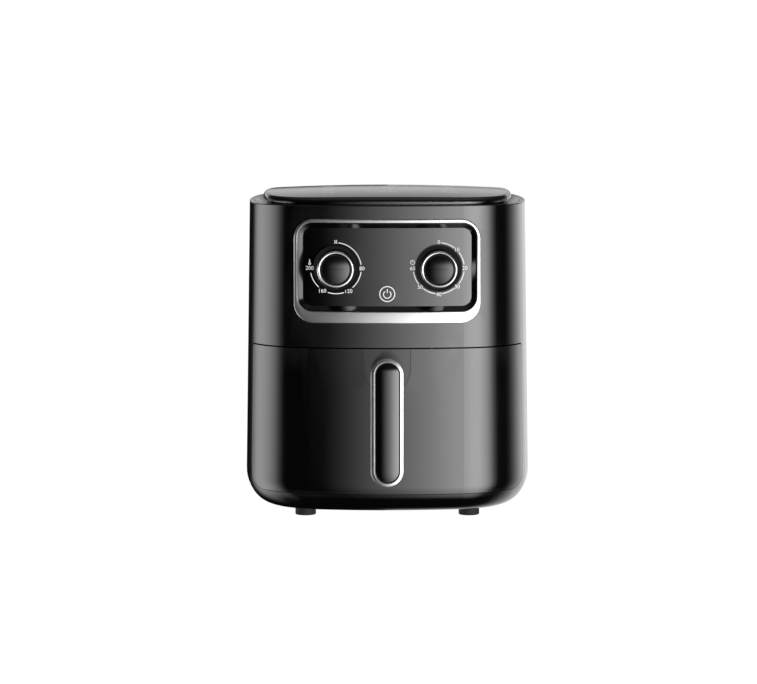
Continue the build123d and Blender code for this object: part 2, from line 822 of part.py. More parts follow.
with BuildPart() as bay_wall:
    add(bay_grown)
    add(skin, mode=Mode.INTERSECT)
    add(bay, mode=Mode.SUBTRACT)
with BuildPart() as mouth_slabs:
    add(sill_slab)
    add(ledge_slab)
    add(skin, mode=Mode.INTERSECT)
with BuildPart() as housing:
    add(skin)
    fillet(housing.faces().sort_by(Axis.Z)[-1].edges(), rim_round)
    add(skin_inside, mode=Mode.SUBTRACT)
    add(bay, mode=Mode.SUBTRACT)
    add(bay_wall.part)
    add(mouth, mode=Mode.SUBTRACT)
    add(mouth_slabs.part)
    add(opening_prism, mode=Mode.SUBTRACT)
    add(gland_hole, mode=Mode.SUBTRACT)
    add(vent_prism, mode=Mode.SUBTRACT)
    add(bosses)
    with BuildSketch(Plane.XY.offset(base_z)):
        add(flange_outline)
    extrude(amount=wall, mode=Mode.SUBTRACT)
    with BuildSketch(Plane.XY.offset(base_z)):
        add(cover_outline)
    extrude(amount=cover_sheet, mode=Mode.SUBTRACT)
    add(bosses)
    add(foot_holes, mode=Mode.SUBTRACT)
    add(bottom_screw_ways, mode=Mode.SUBTRACT)
    add(plunger_way, mode=Mode.SUBTRACT)
write(housing, "housing")

# ------------------------------------------------------------------ underside
vent_slot = 4.0
vent_slot_length = 44.0
vent_slot_pitch = 10.0
vent_row_pitch = 70.0
vent_slot_count = 7
with BuildPart() as bottom_cover:
    with BuildSketch(Plane.XY.offset(base_z)):
        add(cover_outline)
        with Locations((0, centre_y)):
            with GridLocations(vent_slot_pitch, vent_row_pitch, vent_slot_count, 2):
                SlotOverall(vent_slot_length, vent_slot, rotation=90, mode=Mode.SUBTRACT)
    extrude(amount=cover_sheet)
    add(bottom_screw_ways, mode=Mode.SUBTRACT)
write(bottom_cover, "bottom_cover")

bottom_head_radius = 3.4
bottom_head_height = 2.0
with BuildPart() as bottom_screws:
    for place in bottom_screw_places:
        add(post(*place, bottom_screw_radius, base_z, bottom_boss_top))
        add(post(*place, bottom_head_radius, base_z - bottom_head_height, base_z))
write(bottom_screws, "bottom_screws")

foot_round = 1.2
foot_barb = 1.5          # head of the stem, outside its hole
foot_barb_height = 2.0
foot_names = ("foot_front_left", "foot_rear_left", "foot_front_right", "foot_rear_right")
for (x, y), label in zip(foot_places, foot_names):
    with BuildPart() as foot:
        add(post(x, y, foot_diameter / 2, 0, base_z))
        fillet(foot.faces().sort_by(Axis.Z)[0].edges(), foot_round)
        add(post(x, y, foot_stem / 2, base_z, base_z + wall))
        add(post(x, y, foot_stem / 2 + foot_barb, base_z + wall, base_z + wall + foot_barb_height))
    write(foot, label)

# ------------------------------------------------------------------ cooking cavity
cavity_radius = 12.0     # rounding where the cavity's walls meet its floor


def cavity_plan(grow):
    """The cavity's outline in plan, open to the front, `grow` outside its inner face."""
    near, far = liner_front_y, cavity_back_y + grow
    half = cavity_half_width + grow
    with BuildSketch() as outline:
        with Locations((0, (near + far) / 2)):
            Rectangle(2 * half, far - near)
        rear = outline.vertices().group_by(Axis.Y)[-1]
        fillet(rear, pan_corner_radius + grow)
    return outline.sketch


def cavity_block(grow, low, high):
    """The cavity as a solid with its lower edges rounded, `grow` outside its inner face."""
    outline = cavity_plan(grow)
    with BuildPart() as cavity:
        with BuildSketch(Plane.XY.offset(low)):
            add(outline)
        extrude(amount=high - low)
        base_edges = cavity.faces().sort_by(Axis.Z)[0].edges()
        fillet(base_edges.sort_by(Axis.Y)[1:], cavity_radius + grow)
    return cavity.part


ceiling_top_z = cavity_ceiling_z + sheet
cavity_outside = cavity_block(sheet, cavity_floor_z - sheet, ceiling_top_z)
cavity_inside = cavity_block(0, cavity_floor_z, cavity_ceiling_z)
reflector_screw_radius = 1.25
reflector_screw_length = 5.0
reflector_head_radius = 2.4
reflector_head_height = 1.6
reflector_screw_reach = reflector_radius + 2.6
reflector_screw_places = []
for angle in (45, 135, 225, 315):
    turn = radians(angle)
    reflector_screw_places.append(
        (reflector_screw_reach * cos(turn), fan_y + reflector_screw_reach * sin(turn))
    )
reflector_screw_top_z = ceiling_top_z + reflector_screw_length
reflector_screw_span = (cavity_ceiling_z, reflector_screw_top_z)
reflector_screw_ways = [post(*place, reflector_screw_radius, *reflector_screw_span)
                        for place in reflector_screw_places]
with BuildPart() as cavity_liner:
    add(cavity_outside)
    add(cavity_inside, mode=Mode.SUBTRACT)
    add(post(0, fan_y, air_hole_radius, cavity_ceiling_z, ceiling_top_z), mode=Mode.SUBTRACT)
    add(reflector_screw_ways, mode=Mode.SUBTRACT)
write(cavity_liner, "cavity_liner")

collar_depth = 6.0
collar_grow = 4.0
with BuildPart() as mouth_frame:
    add(block(
        (-cavity_half_width - collar_grow, cavity_half_width + collar_grow),
        (liner_front_y, liner_front_y + collar_depth),
        (cavity_floor_z - collar_grow, cavity_ceiling_z + collar_grow),
    ))
    add(skin_inside, mode=Mode.INTERSECT)
    add(cavity_outside, mode=Mode.SUBTRACT)
write(mouth_frame, "mouth_frame")

rail_inner = pan_half_width + pan_lip - pan_wall
rail_top = pan_rim_z - pan_wall - rail_clearance
with BuildPart() as drawer_rails:
    for side in (-1, 1):
        ends = sorted((side * rail_inner, side * cavity_half_width))
        add(block(ends, (liner_front_y, centre_y + rail_reach), (rail_top - rail_depth, rail_top)))
write(drawer_rails, "drawer_rails")

# ------------------------------------------------------------------ hot-air unit
def fan_post(radius, low, high):
    """A round bar on the fan's axis."""
    return post(0, fan_y, radius, low, high)


duct_wall = 2.0
reflector_top_z = ceiling_top_z + reflector_height
duct_inner = rounded_panel(
    2 * (vent_half_width - duct_wall), vent_low_z + duct_wall, vent_high_z - duct_wall, 2
)
duct_way = prism(duct_inner, fan_y - front_y, body_depth + 20)
reflector_outside = fan_post(reflector_radius, ceiling_top_z, reflector_top_z)
# The element is one steel tube bent into two rings, which ends in two upright terminals.
element_centre = Vector(0, fan_y, element_z)


def on_ring(radius, angle, along=0.0, rise=0.0):
    """A point at `radius` and `angle` from the fan's axis, moved `along` the turn and up."""
    a = radians(angle)
    outward, forward = Vector(cos(a), sin(a), 0), Vector(-sin(a), cos(a), 0)
    return element_centre + outward * radius + forward * along + Vector(0, 0, rise)


elbow = 10.0
lead_top_z = reflector_top_z + 6
near_angle, far_angle = element_gap_angle, 360 - element_gap_angle
element_turn = far_angle - near_angle
ring_middle = (element_outer_radius + element_inner_radius) / 2
bend = (element_outer_radius - element_inner_radius) / 2
low_turn = elbow * (1 - sin(radians(45)))


def lead_points(radius):
    """Terminal top, elbow top, elbow middle and foot of one terminal."""
    return (
        on_ring(radius, near_angle, -elbow, lead_top_z - element_z),
        on_ring(radius, near_angle, -elbow, elbow),
        on_ring(radius, near_angle, low_turn - elbow, low_turn),
        on_ring(radius, near_angle),
    )


first_lead = lead_points(element_outer_radius)
last_lead = lead_points(element_inner_radius)
with BuildPart() as heating_element:
    with BuildLine() as element_path:
        Line(first_lead[0], first_lead[1])
        ThreePointArc(*first_lead[1:])
        CenterArc(element_centre, element_outer_radius, near_angle, element_turn)
        ThreePointArc(
            on_ring(element_outer_radius, far_angle),
            on_ring(ring_middle, far_angle, bend),
            on_ring(element_inner_radius, far_angle),
        )
        CenterArc(element_centre, element_inner_radius, far_angle, -element_turn)
        ThreePointArc(*reversed(last_lead[1:]))
        Line(last_lead[1], last_lead[0])
    with BuildSketch(Plane(element_path.line @ 0, z_dir=element_path.line % 0)):
        Circle(element_tube / 2)
    sweep()
write(heating_element, "heating_element")

bush_sleeve = 2.0
terminal_rise = 3.0      # bushes above the reflector
terminal_radius = element_tube / 2 + bush_sleeve
terminal_places = [(lead[0].X, lead[0].Y) for lead in (first_lead, last_lead)]
reflector_round = 8.0
terminal_holes = [post(*place, terminal_radius, reflector_top_z - reflector_round - sheet, rim_z)
                  for place in terminal_places]
with BuildPart() as terminal_bushes:
    for place in terminal_places:
        add(post(*place, terminal_radius, reflector_top_z - sheet, reflector_top_z + terminal_rise))
        add(post(*place, element_tube / 2, 0, rim_z), mode=Mode.SUBTRACT)
write(terminal_bushes, "terminal_bushes")

shaft_way = shaft_diameter / 2 + 3.0
with BuildPart() as reflector:
    add(reflector_outside)
    fillet(reflector.faces().sort_by(Axis.Z)[-1].edges(), reflector_round)
    offset(amount=-sheet, openings=reflector.faces().sort_by(Axis.Z)[0])
    with BuildSketch(Plane.XY.offset(ceiling_top_z)):
        with Locations((0, fan_y)):
            Circle(reflector_radius + reflector_flange)
            Circle(reflector_radius - sheet, mode=Mode.SUBTRACT)
    extrude(amount=sheet)
    add(fan_post(shaft_way, ceiling_top_z, reflector_top_z + 1), mode=Mode.SUBTRACT)
    add(terminal_holes, mode=Mode.SUBTRACT)
    add(duct_way, mode=Mode.SUBTRACT)
    add(reflector_screw_ways, mode=Mode.SUBTRACT)
write(reflector, "reflector")

with BuildPart() as reflector_screws:
    for place in reflector_screw_places:
        add(post(*place, reflector_screw_radius, cavity_ceiling_z, reflector_screw_top_z))
        add(post(*place, reflector_head_radius, cavity_ceiling_z - reflector_head_height,
                 cavity_ceiling_z))
write(reflector_screws, "reflector_screws")

guard_reach = guard_radii[0]
with BuildPart() as element_guard:
    with BuildSketch(Plane.XY.offset(ceiling_top_z)):
        with Locations((0, fan_y)):
            for radius in guard_radii:
                Circle(radius + guard_wire)
                Circle(radius - guard_wire, mode=Mode.SUBTRACT)
            Rectangle(2 * guard_reach, 2 * guard_wire)
            Rectangle(2 * guard_wire, 2 * guard_reach)
    extrude(amount=2 * guard_wire)
write(element_guard, "element_guard")

shaft_radius = shaft_diameter / 2
shaft_hole = shaft_radius + moving_clearance
fan_hub_radius = 9.0
blade_count = 8
blade_thick = 1.2
fan_disc = 1.0
fan_top_z = fan_z + fan_height


def fan_wheel(radius, hub, low, high, disc_low):
    """A disc with upright radial blades and a hub, bored for the shaft."""
    disc = fan_post(radius, disc_low, disc_low + fan_disc)
    core = fan_post(hub, low, high)
    rim = fan_post(radius, low, high)
    bore = fan_post(shaft_radius, low, high)
    with BuildPart() as wheel:
        with BuildSketch(Plane.XY.offset(low)):
            with Locations((0, fan_y)):
                with PolarLocations((radius + hub) / 2, blade_count):
                    Rectangle(radius - hub + 2, blade_thick)
        extrude(amount=high - low)
        add(rim, mode=Mode.INTERSECT)
        add(disc)
        add(core)
        add(bore, mode=Mode.SUBTRACT)
    return wheel


fan_blade = fan_wheel(fan_radius, fan_hub_radius, fan_z, fan_top_z, fan_top_z - fan_disc)
write(fan_blade, "fan_blade")
cooling_hub_radius = 7.0
cooling_top_z = cooling_fan_z + fan_height
cooling_fan = fan_wheel(
    cooling_fan_radius, cooling_hub_radius, cooling_fan_z, cooling_top_z, cooling_fan_z
)
write(cooling_fan, "cooling_fan")

nut_height = 3.0
nut_radius = 5.0         # across the nut's corners, halved
with BuildPart() as motor_shaft:
    add(fan_post(shaft_radius, fan_z - nut_height - 1, shaft_top_z))
write(motor_shaft, "motor_shaft")

with BuildPart() as fan_nut:
    with BuildSketch(Plane.XY.offset(fan_z - nut_height)):
        with Locations((0, fan_y)):
            RegularPolygon(nut_radius, 6)
            Circle(shaft_radius, mode=Mode.SUBTRACT)
    extrude(amount=nut_height)
write(fan_nut, "fan_nut")

bush_radius = 6.0
bush_height = 5.0
bush_rim = 2.0
motor_round = 2.0
bore_radius = shaft_radius + shaft_clearance
motor_top_z = bracket_z + motor_height
bracket_y = (fan_y - bracket_depth / 2, fan_y + bracket_depth / 2)
bracket_inner = bracket_half_width - bracket_sheet
bracket_under_z = bracket_z - bracket_sheet
under_bracket = block((-bracket_inner, bracket_inner), bracket_y, (ceiling_top_z, bracket_under_z))
with BuildPart() as motor_bracket:
    add(block((-bracket_half_width, bracket_half_width), bracket_y, (ceiling_top_z, bracket_z)))
    add(under_bracket, mode=Mode.SUBTRACT)
    add(fan_post(bush_radius + bush_rim, bracket_under_z, bracket_z), mode=Mode.SUBTRACT)
write(motor_bracket, "motor_bracket")

with BuildPart() as motor_body:
    add(fan_post(motor_diameter / 2, bracket_z, motor_top_z))
    fillet(motor_body.edges().filter_by(GeomType.CIRCLE), motor_round)
    add(fan_post(bush_radius, bracket_z, bracket_z + bush_height), mode=Mode.SUBTRACT)
    add(fan_post(bush_radius, motor_top_z - bush_height, motor_top_z), mode=Mode.SUBTRACT)
    add(fan_post(shaft_hole, bracket_z, motor_top_z), mode=Mode.SUBTRACT)
write(motor_body, "motor_body")

with BuildPart() as motor_bushes:
    for low in (bracket_z, motor_top_z - bush_height):
        add(fan_post(bush_radius, low, low + bush_height))
    add(fan_post(bore_radius, bracket_z, motor_top_z), mode=Mode.SUBTRACT)
write(motor_bushes, "motor_bushes")

# ------------------------------------------------------------------ rear vent, duct and gland
spigot_far = body_depth - 14.0
slat_pitch = 6.0
slat_thick = 1.4
slat_width = 9.0
slat_lean = 30.0
slat_count = 5
vent_middle_z = (vent_low_z + vent_high_z) / 2
vent_frame = rounded_panel(
    2 * (vent_half_width + vent_flange), vent_low_z - vent_flange, vent_high_z + vent_flange, 7
)
with BuildPart() as vent_slats:
    with BuildSketch(Plane.YZ.offset(-vent_half_width)):
        with Locations((back_y - 4, vent_middle_z)):
            with GridLocations(1, slat_pitch, 1, slat_count):
                Rectangle(slat_width, slat_thick, rotation=-slat_lean)
    extrude(amount=2 * vent_half_width)
    add(vent_prism, mode=Mode.INTERSECT)
with BuildPart() as rear_vent:
    add(prism(vent_frame, body_depth - 10, rear_depth))
    fillet(rear_vent.faces().sort_by(Axis.Y)[-1].edges(), 1.2)
    add(skin, mode=Mode.SUBTRACT)
    add(prism(vent_outline, spigot_far, rear_depth - 1))
    add(duct_way, mode=Mode.SUBTRACT)
    add(vent_slats.part)
write(rear_vent, "rear_vent")

with BuildPart() as exhaust_duct:
    add(prism(vent_outline, fan_y - front_y, spigot_far))
    add(duct_way, mode=Mode.SUBTRACT)
    add(reflector_outside, mode=Mode.SUBTRACT)
write(exhaust_duct, "exhaust_duct")

gland_flange_radius = 9.0
gland_face = body_depth - 0.5
with BuildPart() as gland_nut:
    add(rod(gland_x, gland_z, gland_flange_radius, body_depth - 16, body_depth))
    add(skin_inside, mode=Mode.INTERSECT)
with BuildPart() as cord_gland:
    add(rod(gland_x, gland_z, gland_flange_radius, body_depth - 8, gland_face))
    fillet(cord_gland.faces().sort_by(Axis.Y)[-1].edges(), 1.0)
    add(skin, mode=Mode.SUBTRACT)
    add(rod(gland_x, gland_z, gland_hole_radius, body_depth - 16, gland_face - 1))
    add(gland_nut.part)
    add(rod(gland_x, gland_z, gland_bore_radius, 0, body_depth + 10), mode=Mode.SUBTRACT)
write(cord_gland, "cord_gland")

# ------------------------------------------------------------------ drawer switch
switch_low_z = ledge_z + wall
switch_height = 12.0
switch_half_width = 8.0
switch_near = 2.4        # switch's faces before and behind the plunger
switch_far = 9.0
plunger_low_z = drawer_top_z + plunger_lift
plunger_length = 9.0
plunger_travel = 2.0
plunger_top_z = plunger_low_z + plunger_length
with BuildPart() as door_switch:
    add(block((switch_x - switch_half_width, switch_x + switch_half_width),
              (switch_y - switch_near, switch_y + switch_far),
              (switch_low_z, switch_low_z + switch_height)))
    add(post(switch_x, switch_y, plunger_radius + plunger_clearance, switch_low_z,
             plunger_top_z + plunger_travel + 0.5), mode=Mode.SUBTRACT)
write(door_switch, "door_switch")

with BuildPart() as switch_plunger:
    add(post(switch_x, switch_y, plunger_radius, plunger_low_z, plunger_top_z))
    fillet(switch_plunger.faces().sort_by(Axis.Z)[0].edges(), 0.6)
write(switch_plunger, "switch_plunger")


# ------------------------------------------------------------------ intake ring and lid
def flared_layer(inset, low, high, angle):
    """A layer that widens upwards by `angle`, `inset` inside the skin at its foot."""
    outline = body_plan(inset + slope(draft, low - base_z))
    with BuildPart() as layer:
        with BuildSketch(Plane.XY.offset(low)):
            add(outline)
        extrude(amount=high - low, taper=-angle)
    return layer.part


intake_top_z = rim_z - 0.4
intake_low_z = intake_floor_z - intake_sheet
slope_angle = degrees(atan2(intake_slope_reach - intake_lip, rim_z - intake_floor_z))
slope_face = flared_layer(intake_slope_reach, intake_floor_z, rim_z + 1, slope_angle)
slope_back = flared_layer(intake_slope_reach, intake_low_z - 1, rim_z - 3, slope_angle)
hollow_band = body_layer(wall + 1.6, intake_low_z - 1, rim_z - 4)
slot_outer = body_layer(intake_slope_reach + 7.0, intake_low_z - 1, intake_floor_z + 1)
slot_inner = body_layer(intake_reach - 3.0, intake_low_z - 1, intake_floor_z + 1)
slot_width = 3.0
slot_pitch = 8.0
slot_columns, slot_rows = 18, 20
with BuildPart() as intake_slots:
    with BuildSketch(Plane.XY.offset(intake_low_z - 1)):
        with Locations((0, centre_y)):
            with GridLocations(slot_pitch, 1, slot_columns, 1):
                Rectangle(slot_width, body_depth)
            with GridLocations(1, slot_pitch, 1, slot_rows):
                Rectangle(body_width, slot_width)
            Rectangle(150, 170, mode=Mode.SUBTRACT)
    extrude(amount=intake_sheet + 2)
    add(slot_outer, mode=Mode.INTERSECT)
    add(slot_inner, mode=Mode.SUBTRACT)
with BuildPart() as under_slope:
    add(hollow_band)
    add(slope_back, mode=Mode.SUBTRACT)
with BuildPart() as intake_ring:
    add(body_layer(wall, intake_low_z, intake_top_z))
    add(slope_face, mode=Mode.SUBTRACT)
    add(under_slope.part, mode=Mode.SUBTRACT)
    add(body_layer(intake_reach, intake_low_z - 1, rim_z), mode=Mode.SUBTRACT)
    add(intake_slots.part, mode=Mode.SUBTRACT)
write(intake_ring, "intake_ring")

lid_inset = lid_gap - slope(draft, lid_low_z - rim_z)
skirt_inset = lid_inset + skirt_setback
crown_centre_z = lid_top_z - lid_crown_radius
with BuildPart() as crown:
    with Locations((0, centre_y, crown_centre_z)):
        Sphere(lid_crown_radius)
skirt_slot_low = intake_floor_z + 2.5
skirt_slot_high = lid_low_z - 3.0
skirt_slot_width = 5.0
skirt_columns, skirt_rows = 17, 19
with BuildPart() as skirt_slots:
    with BuildSketch(Plane.XY.offset(skirt_slot_low)):
        with Locations((0, centre_y)):
            with GridLocations(slot_pitch, 1, skirt_columns, 1):
                Rectangle(skirt_slot_width, body_depth)
            with GridLocations(1, slot_pitch, 1, skirt_rows):
                Rectangle(body_width, skirt_slot_width)
    extrude(amount=skirt_slot_high - skirt_slot_low)
with BuildPart() as lid_skirt:
    add(straight_layer(skirt_inset, intake_floor_z, lid_low_z))
    add(straight_layer(skirt_inset + skirt_wall, intake_floor_z, lid_low_z), mode=Mode.SUBTRACT)
    add(skirt_slots.part, mode=Mode.SUBTRACT)
with BuildPart() as top_cover:
    add(straight_layer(lid_inset, lid_low_z, lid_top_z + 5))
    add(crown.part, mode=Mode.INTERSECT)
    fillet(top_cover.faces().sort_by(Axis.Z)[-1].edges(), lid_edge_radius)
    add(straight_layer(skirt_inset + skirt_wall, lid_low_z, lid_low_z + 2), mode=Mode.SUBTRACT)
    add(lid_skirt.part)
write(top_cover, "top_cover")
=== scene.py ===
# %% [markdown]
# # An air fryer, dressed in the studio
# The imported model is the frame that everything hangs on: its nodes are the real moulded and pressed pieces,
# already at their true size and place. Here each piece gets its finish, and the small things that a moulding
# tool or a printer would add are built beside them. Nothing is measured by eye, because places come from
# the frame itself.
# %% Load the frame
import json
import math

import bmesh
import bpy
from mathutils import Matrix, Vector
from mathutils.bvhtree import BVHTree


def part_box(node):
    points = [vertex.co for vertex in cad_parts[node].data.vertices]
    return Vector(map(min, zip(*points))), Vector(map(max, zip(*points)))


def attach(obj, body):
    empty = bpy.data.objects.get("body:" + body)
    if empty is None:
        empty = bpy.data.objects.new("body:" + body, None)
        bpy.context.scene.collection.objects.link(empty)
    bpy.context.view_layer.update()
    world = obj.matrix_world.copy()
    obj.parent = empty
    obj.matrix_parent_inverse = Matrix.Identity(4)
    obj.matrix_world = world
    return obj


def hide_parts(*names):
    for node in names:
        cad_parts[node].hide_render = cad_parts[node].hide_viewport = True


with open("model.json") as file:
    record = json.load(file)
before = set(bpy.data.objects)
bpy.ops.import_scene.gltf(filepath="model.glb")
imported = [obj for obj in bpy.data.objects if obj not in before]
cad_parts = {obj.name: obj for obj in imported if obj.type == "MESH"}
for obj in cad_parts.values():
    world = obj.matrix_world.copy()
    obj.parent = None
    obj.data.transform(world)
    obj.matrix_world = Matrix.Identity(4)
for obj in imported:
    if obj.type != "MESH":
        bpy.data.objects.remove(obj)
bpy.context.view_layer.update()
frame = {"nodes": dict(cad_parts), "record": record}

nodes = frame["nodes"]
MM = 0.001

# %% [markdown]
# ## Where things are
# A few places are needed again and again: the lowest and highest corner of the panel, the knobs, the lid and
# the handle. The frame gives each node's box, so a size that changes in the model changes here too.
# %% Read the places off the frame


def middle(node):
    """The middle of a node's box."""
    low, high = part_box(node)
    return Vector(((a + b) / 2 for a, b in zip(low, high)))


panel_low, panel_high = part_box("control_panel")
temperature_centre = middle("temperature_knob")
timer_centre = middle("timer_knob")
lamp_centre = middle("lamp_lens")
ring_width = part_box("temperature_knob_ring")[1][0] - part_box("temperature_knob_ring")[0][0]
print("knob ring", round(ring_width / MM, 2), "mm wide")

# %% [markdown]
# ## Studio
# Black plastic shows almost nothing of its own colour. What we see on it is the room: soft white panels
# mirrored in a curved skin. So the room is drawn as a sky whose brightness depends on the direction round the
# object, which is the same as hanging tall softboxes in a ring. A ramp is easier to tune than ten lamps,
# and it makes no noise. The camera itself sees plain white instead of the softboxes.
# %% Helpers for node trees


def add_node(tree, kind, **inputs):
    """Adds a node and sets its inputs by name; spaces in a name are written as underscores."""
    node = tree.nodes.new(kind)
    for name, value in inputs.items():
        node.inputs[name.replace("_", " ")].default_value = value
    return node


def calculate(tree, operation, first, second=None, third=None):
    """A Math node whose inputs are numbers or sockets, and whose result is returned."""
    node = tree.nodes.new("ShaderNodeMath")
    node.operation = operation
    for socket, value in zip(node.inputs, (first, second, third)):
        if value is None:
            continue
        if isinstance(value, (int, float)):
            socket.default_value = value
        else:
            tree.links.new(value, socket)
    return node.outputs[0]


def ramp(tree, factor, stops, smooth=True):
    """A colour ramp over grey levels: stops are (place from 0 to 1, level)."""
    node = tree.nodes.new("ShaderNodeValToRGB")
    node.color_ramp.interpolation = "B_SPLINE" if smooth else "LINEAR"
    elements = node.color_ramp.elements
    while len(elements) < len(stops):
        elements.new(0.5)
    for element, (place, level) in zip(elements, stops):
        element.position = place
        element.color = (level, level, level, 1)
    tree.links.new(factor, node.inputs[0])
    return node.outputs[0]


# %% [markdown]
# ## The sky's brightness
# Angles are counted from the viewer's side, towards the right. A tall bright box stands front right, a
# second one beside the left rear corner, and everything between them is dark. That darkness is what draws
# the black band down the left of the body. Behind the object a low glow lights the lid's crown.
# %% The sky that stands for the softboxes
SIDE_LIGHT = [
    (-180, 0.0), (-160, 0.0), (-150, 0.08), (-140, 0.7), (-130, 1.5), (-120, 1.95), (-110, 2.1), (-98, 1.9),
    (-86, 1.2), (-76, 0.3), (-69, 0.0), (-22, 0.0), (-15, 0.2), (-8, 0.52), (0, 0.95), (14, 1.9), (26, 3.2),
    (38, 4.1), (50, 4.1), (63, 2.5), (73, 0.6), (80, 0.0), (99, 0.0), (106, 0.12), (116, 0.55), (128, 1.2),
    (144, 1.6), (165, 1.1), (180, 0.9),
]
SKY_PEAK = 4.1
SKY_GAIN = 1.15
REAR_GLOW = 0.86
OVERHEAD_GLOW = 0.35


def build_sky():
    """A world whose glow depends on direction: strips round the horizon, a rear glow and an overhead one."""
    world = bpy.data.worlds.new("studio")
    world.use_nodes = True
    tree = world.node_tree
    tree.nodes.clear()
    direction = add_node(tree, "ShaderNodeTexCoord").outputs["Generated"]
    split = tree.nodes.new("ShaderNodeSeparateXYZ")
    tree.links.new(direction, split.inputs[0])
    right, back, up = split.outputs
    toward_viewer = calculate(tree, "MULTIPLY", back, -1.0)
    azimuth = calculate(tree, "ARCTAN2", right, toward_viewer)
    turn = calculate(tree, "MULTIPLY_ADD", azimuth, 1 / math.tau, 0.5)
    stops = [(angle / 360 + 0.5, level / SKY_PEAK) for angle, level in SIDE_LIGHT]
    band = ramp(tree, turn, stops, smooth=False)
    height = calculate(tree, "MULTIPLY_ADD", up, 0.5, 0.5)
    front_stops = [(0.04, 0.0), (0.12, 0.45), (0.25, 0.8), (0.34, 1.0), (0.58, 1.0), (0.62, 0.15), (0.66, 0.0)]
    front_tall = ramp(tree, height, front_stops, smooth=False)
    rear_tall = ramp(tree, height, [(0.1, 0.0), (0.28, 1.0), (0.497, 1.0), (0.51, 0.0)], smooth=False)
    to_rear = ramp(tree, calculate(tree, "MULTIPLY_ADD", back, 0.5, 0.5), [(0.42, 0.0), (0.54, 1.0)])
    change = calculate(tree, "SUBTRACT", rear_tall, front_tall)
    tall = calculate(tree, "MULTIPLY_ADD", change, to_rear, front_tall)
    strips = calculate(tree, "MULTIPLY", calculate(tree, "MULTIPLY", band, tall), SKY_PEAK * SKY_GAIN)
    behind = calculate(tree, "MAXIMUM", back, 0.0)
    low_rear = ramp(tree, height, [(0.5, 0.0), (0.512, 0.2), (0.526, 1.0), (0.544, 0.92), (0.557, 0.84),
                                   (0.57, 0.6), (0.604, 0.2), (0.67, 0.02), (1.0, 0.0)], smooth=False)
    rear = calculate(tree, "MULTIPLY", calculate(tree, "MULTIPLY", behind, low_rear), REAR_GLOW)
    lit_side = ramp(tree, calculate(tree, "MULTIPLY_ADD", right, 0.5, 0.5), [(0.25, 0.3), (0.6, 1.0)])
    top = ramp(tree, height, [(0.8, 0.0), (0.92, 1.0)])
    overhead = calculate(tree, "MULTIPLY", calculate(tree, "MULTIPLY", top, lit_side), OVERHEAD_GLOW)
    total = calculate(tree, "ADD", calculate(tree, "ADD", strips, rear), overhead)
    studio = add_node(tree, "ShaderNodeBackground")
    tree.links.new(total, studio.inputs["Strength"])
    plain = add_node(tree, "ShaderNodeBackground", Color=(1, 1, 1, 1), Strength=1.0)
    seen = tree.nodes.new("ShaderNodeLightPath").outputs["Is Camera Ray"]
    choose = tree.nodes.new("ShaderNodeMixShader")
    tree.links.new(seen, choose.inputs[0])
    tree.links.new(studio.outputs[0], choose.inputs[1])
    tree.links.new(plain.outputs[0], choose.inputs[2])
    output = tree.nodes.new("ShaderNodeOutputWorld")
    tree.links.new(choose.outputs[0], output.inputs["Surface"])
    bpy.context.scene.world = world
    return world


build_sky()
bpy.context.scene.view_settings.view_transform = "Standard"
print("sky with", len(SIDE_LIGHT), "stops round the horizon")

# %% [markdown]
# ## Floor and camera
# The floor is a wide pale sheet that glows by itself, like paper lit from behind, so it stays evenly white.
# It is hidden from mirror rays, so that the softboxes can reach low on the glossy sides, as they do when the
# object stands on the edge of a table. It casts no shadow on the base for the same reason.
# %% Floor
FLOOR_REACH = 6.0
FLOOR_GLOW = 1.0


def build_floor():
    mesh = bpy.data.meshes.new("floor")
    corners = [(x * FLOOR_REACH, y * FLOOR_REACH, 0) for x, y in ((-1, -1), (1, -1), (1, 1), (-1, 1))]
    mesh.from_pydata(corners, [], [(0, 1, 2, 3)])
    floor = bpy.data.objects.new("floor", mesh)
    bpy.context.collection.objects.link(floor)
    floor.visible_glossy = False
    floor.visible_shadow = False
    paper = bpy.data.materials.new("studio_paper")
    paper.use_nodes = True
    shader = paper.node_tree.nodes["Principled BSDF"]
    shader.inputs["Base Color"].default_value = (0.3, 0.3, 0.3, 1)
    shader.inputs["Roughness"].default_value = 0.9
    shader.inputs["Specular IOR Level"].default_value = 0.0
    shader.inputs["Emission Color"].default_value = (1, 1, 1, 1)
    shader.inputs["Emission Strength"].default_value = FLOOR_GLOW
    mesh.materials.append(paper)
    return floor


floor = build_floor()

# %% [markdown]
# ## Camera
# A long lens far away keeps the verticals straight, and a slight tilt shows the lid. The shifts only set
# the object's place in the frame.
# %% Camera
CAMERA_BACK = 3.2
CAMERA_HEIGHT = 0.435
TILT_DOWN = 5.1

camera_data = bpy.data.cameras.new("camera")
camera = bpy.data.objects.new("camera", camera_data)
bpy.context.collection.objects.link(camera)
camera_data.lens = 161.9
camera_data.shift_x = -0.0116
camera_data.shift_y = 0.0013
camera_data.clip_end = 50
camera.location = (0, middle("housing").y - CAMERA_BACK, CAMERA_HEIGHT)
camera.rotation_euler = (math.radians(90 - TILT_DOWN), 0, 0)
bpy.context.scene.camera = camera
print("camera at", tuple(round(v, 3) for v in camera.location))

# %% [markdown]
# ## Finishes
# Every finish is built from the same few ingredients, as on a real part: a colour that is never quite even,
# a gloss that wanders a little from place to place, a fine texture from the tool, and edges that are rubbed
# brighter or duller by handling. All of it is noise in the object's own space, so it stays with the part.
# %% One recipe for most finishes


